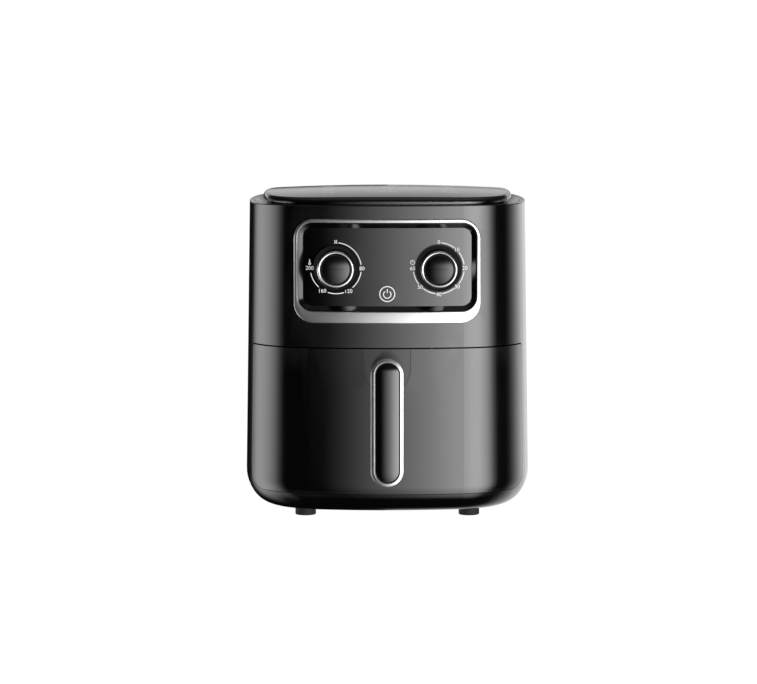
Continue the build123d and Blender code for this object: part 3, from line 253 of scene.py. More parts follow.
def finish(name, colour, roughness, swing=0.04, grain=900.0, depth=0.006, tint=0.15, wear=0.0, stretch=(1, 1, 1),
           broad=18.0, **shader_values):
    """A Principled material whose colour, gloss and bump vary; wear lightens convex edges."""
    material = bpy.data.materials.new(name)
    material.use_nodes = True
    tree = material.node_tree
    shader = tree.nodes["Principled BSDF"]
    for key, value in shader_values.items():
        shader.inputs[key.replace("_", " ")].default_value = value
    place = tree.nodes.new("ShaderNodeTexCoord").outputs["Object"]
    mapping = add_node(tree, "ShaderNodeMapping", Scale=stretch)
    tree.links.new(place, mapping.inputs["Vector"])
    patches = add_node(tree, "ShaderNodeTexNoise", Scale=broad, Detail=4.0, Roughness=0.55)
    fine = add_node(tree, "ShaderNodeTexNoise", Scale=grain, Detail=3.0, Roughness=0.6)
    for noise in (patches, fine):
        tree.links.new(mapping.outputs[0], noise.inputs["Vector"])
    gloss = add_node(tree, "ShaderNodeMapRange", From_Min=0.3, From_Max=0.7,
                     To_Min=max(roughness - swing, 0.02), To_Max=roughness + swing)
    tree.links.new(patches.outputs["Fac"], gloss.inputs["Value"])
    tree.links.new(gloss.outputs["Result"], shader.inputs["Roughness"])
    mix = tree.nodes.new("ShaderNodeMix")
    mix.data_type = "RGBA"
    darker = [c * (1 - tint) for c in colour]
    lighter = [min(c * (1 + tint), 1.0) for c in colour]
    mix.inputs["A"].default_value = (*darker, 1)
    mix.inputs["B"].default_value = (*lighter, 1)
    tree.links.new(patches.outputs["Fac"], mix.inputs["Factor"])
    shade = mix.outputs["Result"]
    if wear > 0:
        edges = tree.nodes.new("ShaderNodeNewGeometry").outputs["Pointiness"]
        worn = ramp(tree, edges, [(0.52, 0.0), (0.6, wear)], smooth=False)
        rubbed = tree.nodes.new("ShaderNodeMix")
        rubbed.data_type = "RGBA"
        rubbed.inputs["B"].default_value = (*[min(c * 2.5 + 0.02, 1.0) for c in colour], 1)
        tree.links.new(worn, rubbed.inputs["Factor"])
        tree.links.new(shade, rubbed.inputs["A"])
        shade = rubbed.outputs["Result"]
    tree.links.new(shade, shader.inputs["Base Color"])
    bump = add_node(tree, "ShaderNodeBump", Strength=0.35, Distance=depth * MM)
    tree.links.new(fine.outputs["Fac"], bump.inputs["Height"])
    tree.links.new(bump.outputs[0], shader.inputs["Normal"])
    return material


# %% [markdown]
# ## What each part is finished in
# Every slot of the model gets one finish. The shiny blacks differ only a little in colour; gloss and the
# strength of their reflection tell them apart, as on a real moulding. Rubber, nonstick coating and steel
# have coarser grain, and plastics that are handled get paler on their edges.
# %% Plastics, metals and rubbers
LACQUER = 1.92      # index of the dense satin top coat, which mirrors a tenth of the light head on
FINISHES = {
    "black_plastic": finish("satin_black", (0.0012, 0.0012, 0.0013), 0.13, swing=0.015, wear=0.3, IOR=LACQUER),
    "lid_plastic": finish("lid_black", (0.0012, 0.0012, 0.0014), 0.1, swing=0.015, wear=0.3, IOR=LACQUER),
    "gloss_black": finish("polished_black", (0.001, 0.001, 0.0011), 0.1, swing=0.02, grain=300, depth=0.001,
                          IOR=1.3),
    "border_black": finish("border_black", (0.0012, 0.0012, 0.0013), 0.13, swing=0.02, grain=300, depth=0.001,
                           IOR=1.65),
    "panel_plastic": finish("panel_satin", (0.0012, 0.0012, 0.0013), 0.14, swing=0.012, depth=0.003,
                            IOR=LACQUER),
    "knob_plastic": finish("knob_grey", (0.002, 0.002, 0.0021), 0.2, swing=0.02, wear=0.2, IOR=1.7),
    "inner_plastic": finish("natural_plastic", (0.62, 0.6, 0.54), 0.5, swing=0.08),
    "silver_trim": finish("satin_silver", (0.8, 0.8, 0.79), 0.36, swing=0.04, tint=0.03, depth=0.002,
                          Metallic=1.0),
    "chrome_ring": finish("chrome", (0.84, 0.84, 0.85), 0.12, swing=0.04, tint=0.02, depth=0.001, Metallic=1.0),
    "lens": finish("smoked_lens", (0.002, 0.002, 0.0022), 0.15, swing=0.03, depth=0.002, IOR=LACQUER),
    "nonstick": finish("nonstick_coat", (0.016, 0.016, 0.017), 0.32, swing=0.06, grain=1400, depth=0.02),
    "cavity_steel": finish("aluminised_steel", (0.55, 0.55, 0.54), 0.36, swing=0.1, stretch=(1, 1, 14),
                           Metallic=1.0),
    "element_steel": finish("burnt_tube", (0.16, 0.14, 0.13), 0.45, swing=0.12, tint=0.4, Metallic=0.8),
    "motor_steel": finish("zinc_case", (0.5, 0.5, 0.52), 0.33, swing=0.08, Metallic=1.0),
    "screw_steel": finish("zinc_screw", (0.6, 0.6, 0.6), 0.3, swing=0.08, Metallic=1.0),
    "bronze": finish("oiled_bronze", (0.5, 0.32, 0.14), 0.38, swing=0.08, Metallic=1.0),
    "rubber": finish("black_rubber", (0.008, 0.008, 0.008), 0.7, swing=0.08, grain=700, depth=0.03),
    "silicone": finish("grey_silicone", (0.03, 0.03, 0.031), 0.55, swing=0.08, grain=500, depth=0.01),
}
slots = {part["node"]: part["material_slot"] for part in frame["record"]["subparts"]}
for name, node in nodes.items():
    for holder in node.material_slots:
        holder.material = FINISHES[slots[name]]
print(len(FINISHES), "finishes on", len(nodes), "nodes")

# %% [markdown]
# ## The curved front, measured
# The silver frame, the gloss border and every printed mark follow the bulging front. Instead of guessing its
# radius, three rays are fired at the shell: two heights give its lean, and one to the side gives its bulge.
# After that a single formula says where the skin is, and everything on the panel can be hung from it.
# %% Where the front skin is
shell = nodes["housing"]
shell_tree = BVHTree.FromPolygons([v.co for v in shell.data.vertices], [p.vertices for p in shell.data.polygons])


def skin_hit(x, z):
    """Where a ray from the viewer's side meets the shell."""
    return shell_tree.ray_cast(Vector((x, -1.0, z)), Vector((0, 1, 0)))[0].y


HIGH_Z, LOW_Z, SIDE_X = 0.279, 0.168, 0.070
high_y, low_y = skin_hit(0, HIGH_Z), skin_hit(0, LOW_Z)
lean = (high_y - low_y) / (HIGH_Z - LOW_Z)
sag = skin_hit(SIDE_X, HIGH_Z) - high_y
bulge_radius = (SIDE_X ** 2 + sag ** 2) / (2 * sag)
print(f"front leans {math.degrees(math.atan(lean)):.2f} degrees and bulges on a {bulge_radius / MM:.0f} mm radius")


def skin_y(x, z):
    """The front skin's place in depth, continued across the panel's opening."""
    crest = high_y + (z - HIGH_Z) * lean
    radius = bulge_radius + (high_y - crest)
    return crest + radius - math.sqrt(radius ** 2 - x ** 2)


# %% [markdown]
# ## Bands that follow an outline
# A frame, a border and a handle trim are the same job: a cross-section carried round a closed outline. Every
# section point is given as a share of the band's width, an extra offset in millimetres and a depth, so that
# rounded edges keep their size where the band gets wide, as under the panel. The outlines are rounded
# rectangles with matching points, so that inner and outer can be joined straight across.
# %% Outlines and bands


def rounded_outline(width, low, high, radius, per_corner=14, per_side=24):
    """Points (x, z) round a rounded rectangle, evenly spread on each side and corner."""
    half = width / 2 - radius
    corners = ((half, high - radius, 0), (-half, high - radius, 90), (-half, low + radius, 180),
               (half, low + radius, 270))
    points = []
    for index, (cx, cz, start) in enumerate(corners):
        for step in range(per_corner + 1):
            angle = math.radians(start + 90 * step / per_corner)
            points.append((cx + radius * math.cos(angle), cz + radius * math.sin(angle)))
        next_x, next_z, next_start = corners[(index + 1) % 4]
        turn = math.radians(next_start)
        goal = (next_x + radius * math.cos(turn), next_z + radius * math.sin(turn))
        here = points[-1]
        for step in range(1, per_side):
            share = step / per_side
            points.append((here[0] + (goal[0] - here[0]) * share, here[1] + (goal[1] - here[1]) * share))
    return points


def new_piece(name, mesh, material, body, smooth=40):
    """Gives a finished mesh its object, material, shading and body."""
    piece = bpy.data.objects.new(name, mesh)
    bpy.context.collection.objects.link(piece)
    mesh.materials.clear()
    mesh.materials.append(material)
    for polygon in mesh.polygons:
        polygon.use_smooth = True
    mesh.set_sharp_from_angle(angle=math.radians(smooth))
    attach(piece, body)
    return piece


def tidy_mesh(name, vertices, faces, merge=1e-6):
    """A mesh with merged doubles and faces turned outwards."""
    shape = bmesh.new()
    made = [shape.verts.new(v) for v in vertices]
    for face in faces:
        shape.faces.new([made[i] for i in face])
    bmesh.ops.remove_doubles(shape, verts=shape.verts, dist=merge)
    bmesh.ops.recalc_face_normals(shape, faces=shape.faces)
    mesh = bpy.data.meshes.new(name)
    shape.to_mesh(mesh)
    shape.free()
    return mesh


def band_mesh(name, inner, outer, section, depth_at):
    """Carries a closed section of (share, offset, depth) round the space between two outlines."""
    vertices, faces = [], []
    count, ring = len(section), len(inner)
    for (ix, iz), (ox, oz) in zip(inner, outer):
        across = Vector((ox - ix, oz - iz))
        outward = across.normalized()
        for share, offset, depth in section:
            x = ix + across.x * share + outward.x * offset
            z = iz + across.y * share + outward.y * offset
            vertices.append((x, depth_at(x, z) + depth, z))
    for step in range(ring):
        after = (step + 1) % ring
        for index in range(count):
            nearby = (index + 1) % count
            faces.append((step * count + index, after * count + index, after * count + nearby,
                          step * count + nearby))
    return tidy_mesh(name, vertices, faces)


def rounded_lip(share, side, front, radius, steps=5):
    """Section points of a rounded edge: side is +1 for the inner edge and -1 for the outer one."""
    points = []
    for step in range(steps + 1):
        angle = math.pi / 2 * step / steps
        offset = side * radius * (1 - math.cos(angle))
        points.append((share, offset, front + radius * (1 - math.sin(angle))))
    return points if side > 0 else points[::-1]


# %% [markdown]
# ## Silver frame round the panel
# On the real fryer this is a moulded frame with a satin metal coating, pressed over the edge of the opening.
# It is wider under the panel than above it. Its edges are softly rounded, and those small radii
# catch the thin bright lines that make a coated part look like metal, so they are built and not painted.
# %% Silver frame
ring_low, ring_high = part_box("trim_ring")
plate_low, plate_high = panel_low, panel_high
FRAME_RADIUS, OPENING_RADIUS = 18.0 * MM, 13.5 * MM
FRAME_PROUD, BORDER_PROUD = 3.0 * MM, 0.4 * MM
BORDER = 4.8 * MM
PLATE_RECESS = 2.5 * MM
frame_outline = rounded_outline(ring_high[0] - ring_low[0], ring_low[2], ring_high[2], FRAME_RADIUS)
plate_width = plate_high[0] - plate_low[0]
opening_outline = rounded_outline(plate_width + 2 * BORDER, plate_low[2] - BORDER, plate_high[2] + BORDER,
                                  OPENING_RADIUS)
silver_section = [(0, 0, 0.5 * MM)] + rounded_lip(0, 1, -FRAME_PROUD, 0.7 * MM)
silver_section += rounded_lip(1, -1, -FRAME_PROUD, 1.1 * MM) + [(1, 0, 0)]
silver_frame = new_piece("silver_frame", band_mesh("silver_frame", opening_outline, frame_outline, silver_section,
                                                   skin_y), FINISHES["silver_trim"], "housing")
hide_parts("trim_ring")
print("silver frame:", len(silver_frame.data.polygons), "faces")

# %% [markdown]
# ## Gloss border
# Inside the frame a polished black border slopes down to the printed plate. The slope matters more than its
# width: the left wall looks to the right and mirrors the big softbox, while the right wall looks
# into the dark, so one side shines and the other vanishes.
# %% Gloss border
plate_outline = rounded_outline(plate_width, plate_low[2], plate_high[2], OPENING_RADIUS - BORDER)
BORDER_GAP = 0.05 * MM
border_section = [(0, BORDER_GAP, PLATE_RECESS + 1.6 * MM), (0, BORDER_GAP, PLATE_RECESS - 0.2 * MM)]
for step in range(1, 7):
    share = step / 6
    slope = PLATE_RECESS - 0.2 * MM + BORDER_PROUD
    border_section.append((0.93 * share, 0, PLATE_RECESS - 0.2 * MM - slope * share))
border_section += rounded_lip(1, -1, -BORDER_PROUD, 0.3 * MM) + [(1, -BORDER_GAP, PLATE_RECESS)]
gloss_border = new_piece("gloss_border", band_mesh("gloss_border", plate_outline, opening_outline, border_section,
                                                   skin_y), FINISHES["border_black"], "housing")
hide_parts("panel_bezel")

# %% [markdown]
# ## Printed dials
# The scale round each knob is white ink, screen-printed on the plate. Ink has a thickness, so each stroke is a
# thin strip of real mesh that lies on the curved plate. Numbers come from Blender's own font as a curve,
# which is turned into a mesh before it is placed. The strokes of the signs are bent from arcs and lines.
# %% Ink
INK_LIFT = 0.07 * MM
# The white print is real ink, but it also gets a painted glow: a small emission keeps it bright whatever light
# falls on it.
INK_PAINTED_GLOW = finish("white_ink_painted_glow", (0.72, 0.73, 0.73), 0.45, swing=0.05, tint=0.06, depth=0.004,
             Emission_Color=(1, 1, 1, 1), Emission_Strength=0.35)


def stroke(points, width, closed=False):
    """A ribbon along (x, z) points, as vertices and faces."""
    vertices, faces = [], []
    total = len(points)
    for index, (x, z) in enumerate(points):
        before = points[index - 1] if closed or index else points[index]
        after = points[(index + 1) % total] if closed or index < total - 1 else points[index]
        along = Vector((after[0] - before[0], after[1] - before[1])).normalized()
        across = Vector((-along.y, along.x)) * width / 2
        vertices += [(x + across.x, z + across.y), (x - across.x, z - across.y)]
    last = total if closed else total - 1
    for index in range(last):
        a, b = 2 * index, 2 * ((index + 1) % total)
        faces.append((a, a + 1, b + 1, b))
    return vertices, faces


def arc(cx, cz, radius, start, end, steps=40):
    """Points on an arc; angles in degrees run clockwise from twelve o'clock, as on a dial."""
    points = []
    for step in range(steps + 1):
        angle = math.radians(start + (end - start) * step / steps)
        points.append((cx + radius * math.sin(angle), cz + radius * math.cos(angle)))
    return points


def lettering(text, size, cx, cz):
    """A short text as flat vertices and faces, centred on (cx, cz)."""
    curve = bpy.data.curves.new("lettering", "FONT")
    curve.body = text
    curve.size = size
    curve.resolution_u = 3
    holder = bpy.data.objects.new("lettering", curve)
    mesh = bpy.data.meshes.new_from_object(holder)
    vertices = [(v.co.x, v.co.y) for v in mesh.vertices]
    faces = [tuple(p.vertices) for p in mesh.polygons]
    bpy.data.objects.remove(holder)
    bpy.data.curves.remove(curve)
    bpy.data.meshes.remove(mesh)
    mid_x = (min(v[0] for v in vertices) + max(v[0] for v in vertices)) / 2
    mid_z = (min(v[1] for v in vertices) + max(v[1] for v in vertices)) / 2
    return [(x - mid_x + cx, z - mid_z + cz) for x, z in vertices], faces


def surface_of(*names):
    """A ray-cast tree over several CAD nodes taken together."""
    vertices, faces = [], []
    for name in names:
        start = len(vertices)
        vertices += [v.co.copy() for v in nodes[name].data.vertices]
        faces += [tuple(start + i for i in p.vertices) for p in nodes[name].data.polygons]
    return BVHTree.FromPolygons(vertices, faces)


plate_tree = surface_of("control_panel", "lamp_lens")


def print_on(name, parts):
    """Lays flat (vertices, faces) parts on whatever the viewer sees there of the plate or the lens."""
    vertices, faces = [], []
    for part_vertices, part_faces in parts:
        start = len(vertices)
        for x, z in part_vertices:
            touched = plate_tree.ray_cast(Vector((x, -1.0, z)), Vector((0, 1, 0)))[0]
            expected = skin_y(x, z) + PLATE_RECESS
            if touched and touched.y < expected + 1.0 * MM:
                expected = touched.y
            vertices.append((x, expected - INK_LIFT, z))
        faces += [tuple(start + i for i in face) for face in part_faces]
    mesh = bpy.data.meshes.new(name)
    mesh.from_pydata(vertices, [], faces)
    shape = bmesh.new()
    shape.from_mesh(mesh)
    for face in shape.faces:
        face.normal_update()
        if face.normal.y > 0:
            face.normal_flip()
    walls = bmesh.ops.extrude_face_region(shape, geom=list(shape.faces), use_keep_orig=True)
    for vertex in [item for item in walls["geom"] if isinstance(item, bmesh.types.BMVert)]:
        vertex.co.y += INK_LIFT * 1.5
    bmesh.ops.recalc_face_normals(shape, faces=shape.faces)
    shape.to_mesh(mesh)
    shape.free()
    return new_piece(name, mesh, INK_PAINTED_GLOW, "housing")


# %% [markdown]
# ## Scales round the knobs
# Both scales share one routine. The left runs from a heat-off sign to 200 in four steps, and the right
# from 0 to 60 in tens. The arcs stop short of the figures, with more room for a longer figure.
# %% Temperature and minute scales
SCALE_RADIUS = 23.0 * MM
LINE = 0.75 * MM
FIGURE = 5.0 * MM
GAP_BY_LENGTH = (0.75, 0.75, 1.0, 1.45)     # room for no figure, one, two and three of them
dial_z = temperature_centre.z


def dial_marks(cx, figures, gap):
    """A scale's figures and the arcs between them, as (degrees, text) round a knob."""
    parts = []
    for angle, text in figures:
        x, z = arc(cx, dial_z, SCALE_RADIUS + 0.6 * MM, angle, angle, 1)[0]
        if text:
            parts.append(lettering(text, FIGURE, x, z))
    for (start, left), (end, right) in zip(figures, figures[1:]):
        cut_in, cut_out = gap * GAP_BY_LENGTH[len(left)], gap * GAP_BY_LENGTH[len(right)]
        parts.append(stroke(arc(cx, dial_z, SCALE_RADIUS, start + cut_in, end - cut_out), LINE))
    return parts


def thermometer(cx, cz, size):
    """A bulb and a stem."""
    return [stroke(arc(cx, cz - size * 0.35, size * 0.22, 0, 342, 16), size * 0.16, closed=True),
            stroke([(cx, cz - size * 0.1), (cx, cz + size * 0.55)], size * 0.2)]


def clock(cx, cz, size):
    """A round face with two hands."""
    return [stroke(arc(cx, cz, size * 0.45, 0, 345, 24), size * 0.12, closed=True),
            stroke([(cx, cz + size * 0.28), (cx, cz), (cx + size * 0.22, cz)], size * 0.12)]


def flame(cx, cz, size):
    """Two rising strokes that meet in a point, for heat off at the top of the scale."""
    left = [(cx - size * 0.3, cz - size * 0.4), (cx - size * 0.1, cz), (cx - size * 0.3, cz + size * 0.45)]
    right = [(cx + size * 0.3, cz - size * 0.4), (cx + size * 0.1, cz), (cx + size * 0.3, cz + size * 0.45)]
    return [stroke(left, size * 0.18), stroke(right, size * 0.18)]


temperature_x, timer_x = temperature_centre.x, timer_centre.x
warmth = dial_marks(temperature_x, [(0, ""), (90, "80"), (150, "120"), (210, "160"), (270, "200")], 8)
warmth += flame(temperature_x, dial_z + SCALE_RADIUS + 0.6 * MM, 3.6 * MM)
warmth += thermometer(temperature_x - SCALE_RADIUS - 0.6 * MM, dial_z + 5.4 * MM, 4.2 * MM)
minutes = dial_marks(timer_x, [(45 * i, str(10 * i)) for i in range(7)], 7.5)
minutes += clock(timer_x - SCALE_RADIUS - 0.6 * MM, dial_z + 5.4 * MM, 4.2 * MM)
temperature_scale = print_on("temperature_scale", warmth)
minute_scale = print_on("minute_scale", minutes)
print("scales:", len(temperature_scale.data.polygons) + len(minute_scale.data.polygons), "faces")

# %% [markdown]
# ## Power sign
# The round lens over the lamp carries a ring and the common power sign, an open ring with a bar.
# %% Power sign on the lamp's lens
lens_z = lamp_centre.z
power = [stroke(arc(0, lens_z, 6.75 * MM, 0, 352, 44), 0.85 * MM, closed=True),
         stroke([(0, lens_z + 0.9 * MM), (0, lens_z + 4.4 * MM)], 0.8 * MM),
         stroke(arc(0, lens_z - 0.4 * MM, 3.4 * MM, 38, 322), 0.8 * MM)]
print_on("power_sign", power)

# %% [markdown]
# ## Knobs
# Each knob is a black body, a chrome ring and a domed cap. The dome is what makes it read as a knob: a
# flat disc would show one grey, while a dome runs from black to light across its face. The ring is half round
# and comes to a slight point at the top, where it is pulled out along two tangents. Both are turned
# shapes, so a short loop of rings does it.
# %% Chrome rings and domed caps
RING_TIP = 9.0     # degrees either side of the top where the ring leaves its circle


def turned(name, cx, cz, rings, segments=128, tip=0.0, closed=False):
    """A shape turned about an axis along Y from (radius, y) rings, with an optional point at the top."""
    vertices, faces = [], []
    for radius, y in rings:
        for step in range(segments):
            angle = math.tau * step / segments
            off_top = abs((math.degrees(angle) + 180) % 360 - 180)
            reach = radius
            if off_top < tip:
                reach = radius / math.cos(math.radians(tip - off_top))
            vertices.append((cx + reach * math.sin(angle), y, cz + reach * math.cos(angle)))
    loops = len(rings)
    for ring in range(loops if closed else loops - 1):
        after_ring = (ring + 1) % loops
        for step in range(segments):
            after = (step + 1) % segments
            faces.append((ring * segments + step, ring * segments + after, after_ring * segments + after,
                          after_ring * segments + step))
    if not closed:
        faces.append(tuple(range(segments)))
        faces.append(tuple((loops - 1) * segments + step for step in range(segments)))
    return tidy_mesh(name, vertices, faces)


DOME_RADIUS = 38.0 * MM
RING_GAP = 0.5 * MM         # black line between the cap and the ring
CAP_PROUD = 0.3 * MM
CAP_ROUND = 0.4 * MM
DOME_STEPS = 24
POINTER_HALF, POINTER_RISE, POINTER_LIFT, POINTER_SINK = 7.5 * MM, 0.22 * MM, 0.12 * MM, 0.04 * MM


def dome_y(crest, reach):
    """Depth of the domed cap's face at a distance from its axis."""
    return crest + DOME_RADIUS - math.sqrt(DOME_RADIUS ** 2 - reach ** 2)


for side, body in (("temperature", "temperature_dial"), ("timer", "timer_dial")):
    centre = middle(f"{side}_knob")
    ring_box, cap_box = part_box(f"{side}_knob_ring"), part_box(f"{side}_knob_cap")
    cap_radius = (cap_box[1][0] - cap_box[0][0]) / 2
    outer = (ring_box[1][0] - ring_box[0][0]) / 2
    inner = cap_radius + RING_GAP
    front, back = ring_box[0][1], ring_box[1][1]
    half = (outer - inner) / 2
    ring_rings = [(inner, back)]
    for step in range(13):
        angle = math.pi * step / 12
        ring_rings.append((inner + half - half * math.cos(angle), front + half * (1 - math.sin(angle))))
    ring_rings.append((outer, back))
    ring = new_piece(f"{side}_chrome_ring", turned(f"{side}_chrome_ring", centre.x, centre.z, ring_rings,
                                                   tip=RING_TIP, closed=True),
                     FINISHES["chrome_ring"], body)
    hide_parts(f"{side}_knob_ring")
    dome_rings = [(cap_radius, cap_box[1][1])]
    crest = cap_box[0][1] - CAP_PROUD
    dome_rings.append((cap_radius, dome_y(crest, cap_radius - 0.5 * MM) + 0.6 * MM))
    for step in range(DOME_STEPS):
        radius = (cap_radius - CAP_ROUND) * (1 - step / DOME_STEPS)
        dome_rings.append((radius, dome_y(crest, radius)))
    cap = new_piece(f"{side}_cap", turned(f"{side}_cap", centre.x, centre.z, dome_rings),
                    FINISHES["knob_plastic"], body)
    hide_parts(f"{side}_knob_cap")
    pointer_vertices, pointer_faces = [], []
    for step in range(DOME_STEPS + 1):
        x = POINTER_HALF * (2 * step / DOME_STEPS - 1)
        for side_sign, lift in ((1, 0.0), (1, POINTER_LIFT), (-1, POINTER_LIFT), (-1, 0.0)):
            y = dome_y(crest, x) - lift + POINTER_SINK
            pointer_vertices.append((centre.x + x, y, centre.z + side_sign * POINTER_RISE))
    for step in range(DOME_STEPS):
        for index in range(4):
            a, b = step * 4 + index, step * 4 + (index + 1) % 4
            pointer_faces.append((a, b, b + 4, a + 4))
    last = DOME_STEPS * 4
    pointer_faces += [(0, 1, 2, 3), tuple(last + index for index in range(4))]
    new_piece(f"{side}_pointer", tidy_mesh(f"{side}_pointer", pointer_vertices, pointer_faces),
              FINISHES["gloss_black"], body)
print("two rings, two caps and two pointers")

# %% [markdown]
# ## Handle trim and pillow
# The grip is a black bar with a thin silver trim round its face and a raised black pillow in it. The trim
# slopes away outwards, so that its left side mirrors one softbox and its right side the other. The pillow is
# a long capsule cap: its height depends only on the distance from the middle line, which gives round ends
# without any extra work.
# %% Trim and pillow
grip_low, grip_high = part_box("handle_trim")
HANDLE_RADIUS = (grip_high[0] - grip_low[0]) / 2
TRIM_WIDTH = 3.3 * MM
face_y, trim_back = grip_low[1], grip_high[1]


def capsule_outline(grow, steps=32, runs=40):
    """The grip's outline, `grow` outside its own."""
    radius = HANDLE_RADIUS + grow
    low, high = grip_low[2] + HANDLE_RADIUS, grip_high[2] - HANDLE_RADIUS
    points = [(radius * math.cos(math.pi * i / steps), high + radius * math.sin(math.pi * i / steps))
              for i in range(steps + 1)]
    points += [(-radius, high + (low - high) * i / runs) for i in range(1, runs)]
    points += [(-radius * math.cos(math.pi * i / steps), low - radius * math.sin(math.pi * i / steps))
               for i in range(steps + 1)]
    points += [(radius, low + (high - low) * i / runs) for i in range(1, runs)]
    return points


def flat_face(x, z):
    """The grip's face is flat, so its depth is the same everywhere."""
    return face_y


trim_section = [(0, 0, trim_back - face_y)] + rounded_lip(0, 1, 0, 0.5 * MM)
trim_section += rounded_lip(1, -1, 1.5 * MM, 0.9 * MM) + [(1, 0, trim_back - face_y)]
handle_trim = new_piece("grip_trim", band_mesh("grip_trim", capsule_outline(-TRIM_WIDTH), capsule_outline(0),
                                               trim_section, flat_face),
                        FINISHES["silver_trim"], "drawer", smooth=50)
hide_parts("handle_trim")

PILLOW_CROWN = 28.0 * MM
pillow_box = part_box("handle_insert")
pillow_half = (pillow_box[1][0] - pillow_box[0][0]) / 2
pillow_shares = [1 - (1 - i / 20) ** 1.6 for i in range(21)]


def pillow_mesh():
    """Nested capsule outlines, each as high as its distance from the middle line asks."""
    vertices, faces, loops = [], [], []
    base = capsule_outline(-(HANDLE_RADIUS - pillow_half))
    low, high = grip_low[2] + HANDLE_RADIUS, grip_high[2] - HANDLE_RADIUS
    crown_y = pillow_box[0][1]
    levels = [(1.0, pillow_box[1][1])]
    for share in pillow_shares:
        reach = pillow_half * (1 - share)
        drop = PILLOW_CROWN - math.sqrt(PILLOW_CROWN ** 2 - reach ** 2)
        levels.append((1 - share, crown_y + drop))
    for keep, y in levels:
        loop = []
        for x, z in base:
            spine = min(max(z, low), high)
            loop.append(len(vertices))
            vertices.append((x * keep, y, spine + (z - spine) * keep))
        loops.append(loop)
    count = len(base)
    for outer, inner in zip(loops, loops[1:]):
        for step in range(count):
            after = (step + 1) % count
            faces.append((outer[step], outer[after], inner[after], inner[step]))
    faces.append(tuple(loops[0]))
    return tidy_mesh("grip_pillow", vertices, faces, merge=5e-6)


grip_pillow = new_piece("grip_pillow", pillow_mesh(), FINISHES["panel_plastic"], "drawer",
                        smooth=60)
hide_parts("handle_insert")
print("pillow crown", round(pillow_half / MM, 1), "mm either side of the middle")

# %% [markdown]
# ## Food signs on the lid
# Three columns of small cooking signs are printed on the lid in pale grey. Seen from the front the lid is
# nearly edge-on, so they show only as three pale marks; from above they can be read. Each sign is made of
# the same arcs and lines as the dials, laid on the lid by rays fired from above.
# %% Lid signs
lid_tree = surface_of("top_cover")
# The lid signs are real grey print, with a painted glow on top: a small emission keeps them pale whatever light
# falls on them.
PALE_INK_PAINTED_GLOW = finish("pale_ink_painted_glow", (0.5, 0.5, 0.5), 0.5, swing=0.05, tint=0.06, depth=0.004,
                  Emission_Color=(1, 1, 1, 1), Emission_Strength=0.4)
SIGN = 17.0 * MM
SIGN_LINE = 1.1 * MM


def drumstick(cx, cy):
    """A round end, a bone and its knob."""
    return [stroke(arc(cx - SIGN * 0.12, cy + SIGN * 0.1, SIGN * 0.28, 0, 345, 26), SIGN_LINE, closed=True),
            stroke([(cx + SIGN * 0.1, cy - SIGN * 0.1), (cx + SIGN * 0.38, cy - SIGN * 0.36)], SIGN_LINE * 1.3)]


def fish(cx, cy):
    """Two bows that cross at the tail."""
    upper = arc(cx - SIGN * 0.08, cy - SIGN * 0.3, SIGN * 0.45, -50, 50, 20)
    lower = arc(cx - SIGN * 0.08, cy + SIGN * 0.3, SIGN * 0.45, 230, 130, 20)
    return [stroke(upper, SIGN_LINE), stroke(lower, SIGN_LINE),
            stroke([(cx + SIGN * 0.27, cy), (cx + SIGN * 0.45, cy + SIGN * 0.18)], SIGN_LINE),
            stroke([(cx + SIGN * 0.27, cy), (cx + SIGN * 0.45, cy - SIGN * 0.18)], SIGN_LINE)]


def fries(cx, cy):
    """A box with sticks standing in it."""
    box = [(cx - SIGN * 0.3, cy), (cx - SIGN * 0.2, cy - SIGN * 0.4), (cx + SIGN * 0.2, cy - SIGN * 0.4),
           (cx + SIGN * 0.3, cy)]
    sticks = [stroke([(cx + SIGN * share, cy + SIGN * 0.02), (cx + SIGN * share * 1.2, cy + SIGN * 0.4)],
                     SIGN_LINE * 1.4) for share in (-0.2, 0.0, 0.2)]
    return [stroke(box, SIGN_LINE, closed=True)] + sticks


def cake(cx, cy):
    """A muffin: a bow over a tapered cup."""
    return [stroke(arc(cx, cy, SIGN * 0.32, -90, 90, 20), SIGN_LINE),
            stroke([(cx - SIGN * 0.32, cy), (cx - SIGN * 0.2, cy - SIGN * 0.36),
                    (cx + SIGN * 0.2, cy - SIGN * 0.36), (cx + SIGN * 0.32, cy)], SIGN_LINE, closed=True)]


SIGN_COLUMNS = (-54.0 * MM, 1.0 * MM, 57.0 * MM)
SIGN_ROWS = (35.0 * MM, 6.0 * MM, -23.0 * MM, -52.0 * MM)
SIGN_KINDS = (drumstick, fish, fries, cake)
lid_vertices, lid_faces = [], []
for column, x in enumerate(SIGN_COLUMNS):
    for row, y in enumerate(SIGN_ROWS):
        for part_vertices, part_faces in SIGN_KINDS[(column + row) % len(SIGN_KINDS)](x, y):
            start = len(lid_vertices)
            for vx, vy in part_vertices:
                top = lid_tree.ray_cast(Vector((vx, vy, 1.0)), Vector((0, 0, -1)))[0].z
                lid_vertices += [(vx, vy, top + INK_LIFT), (vx, vy, top - INK_LIFT / 2)]
            for face in part_faces:
                lid_faces.append(tuple(start + 2 * i for i in face))
                lid_faces.append(tuple(start + 2 * i + 1 for i in reversed(face)))
            for face in part_faces:
                for a, b in ((face[0], face[3]), (face[1], face[2])):
                    lid_faces.append((start + 2 * a, start + 2 * a + 1, start + 2 * b + 1, start + 2 * b))
lid_signs = new_piece("lid_signs", tidy_mesh("lid_signs", lid_vertices, lid_faces), PALE_INK_PAINTED_GLOW, "housing")
print("lid signs:", len(lid_signs.data.polygons), "faces")

# %% [markdown]
# ## Screws and foot ribs by Geometry Nodes
# What repeats is made once and placed many times. A small node tree takes points, puts a pan-head screw with
# a cross recess on each of them, makes the copies real and gives them their material. A second tree places
# thin ribs round each rubber foot. The trees have named inputs for their sizes, and once a tree has made its
# geometry, the result is kept as a plain mesh.
# %% Node trees for repeated hardware


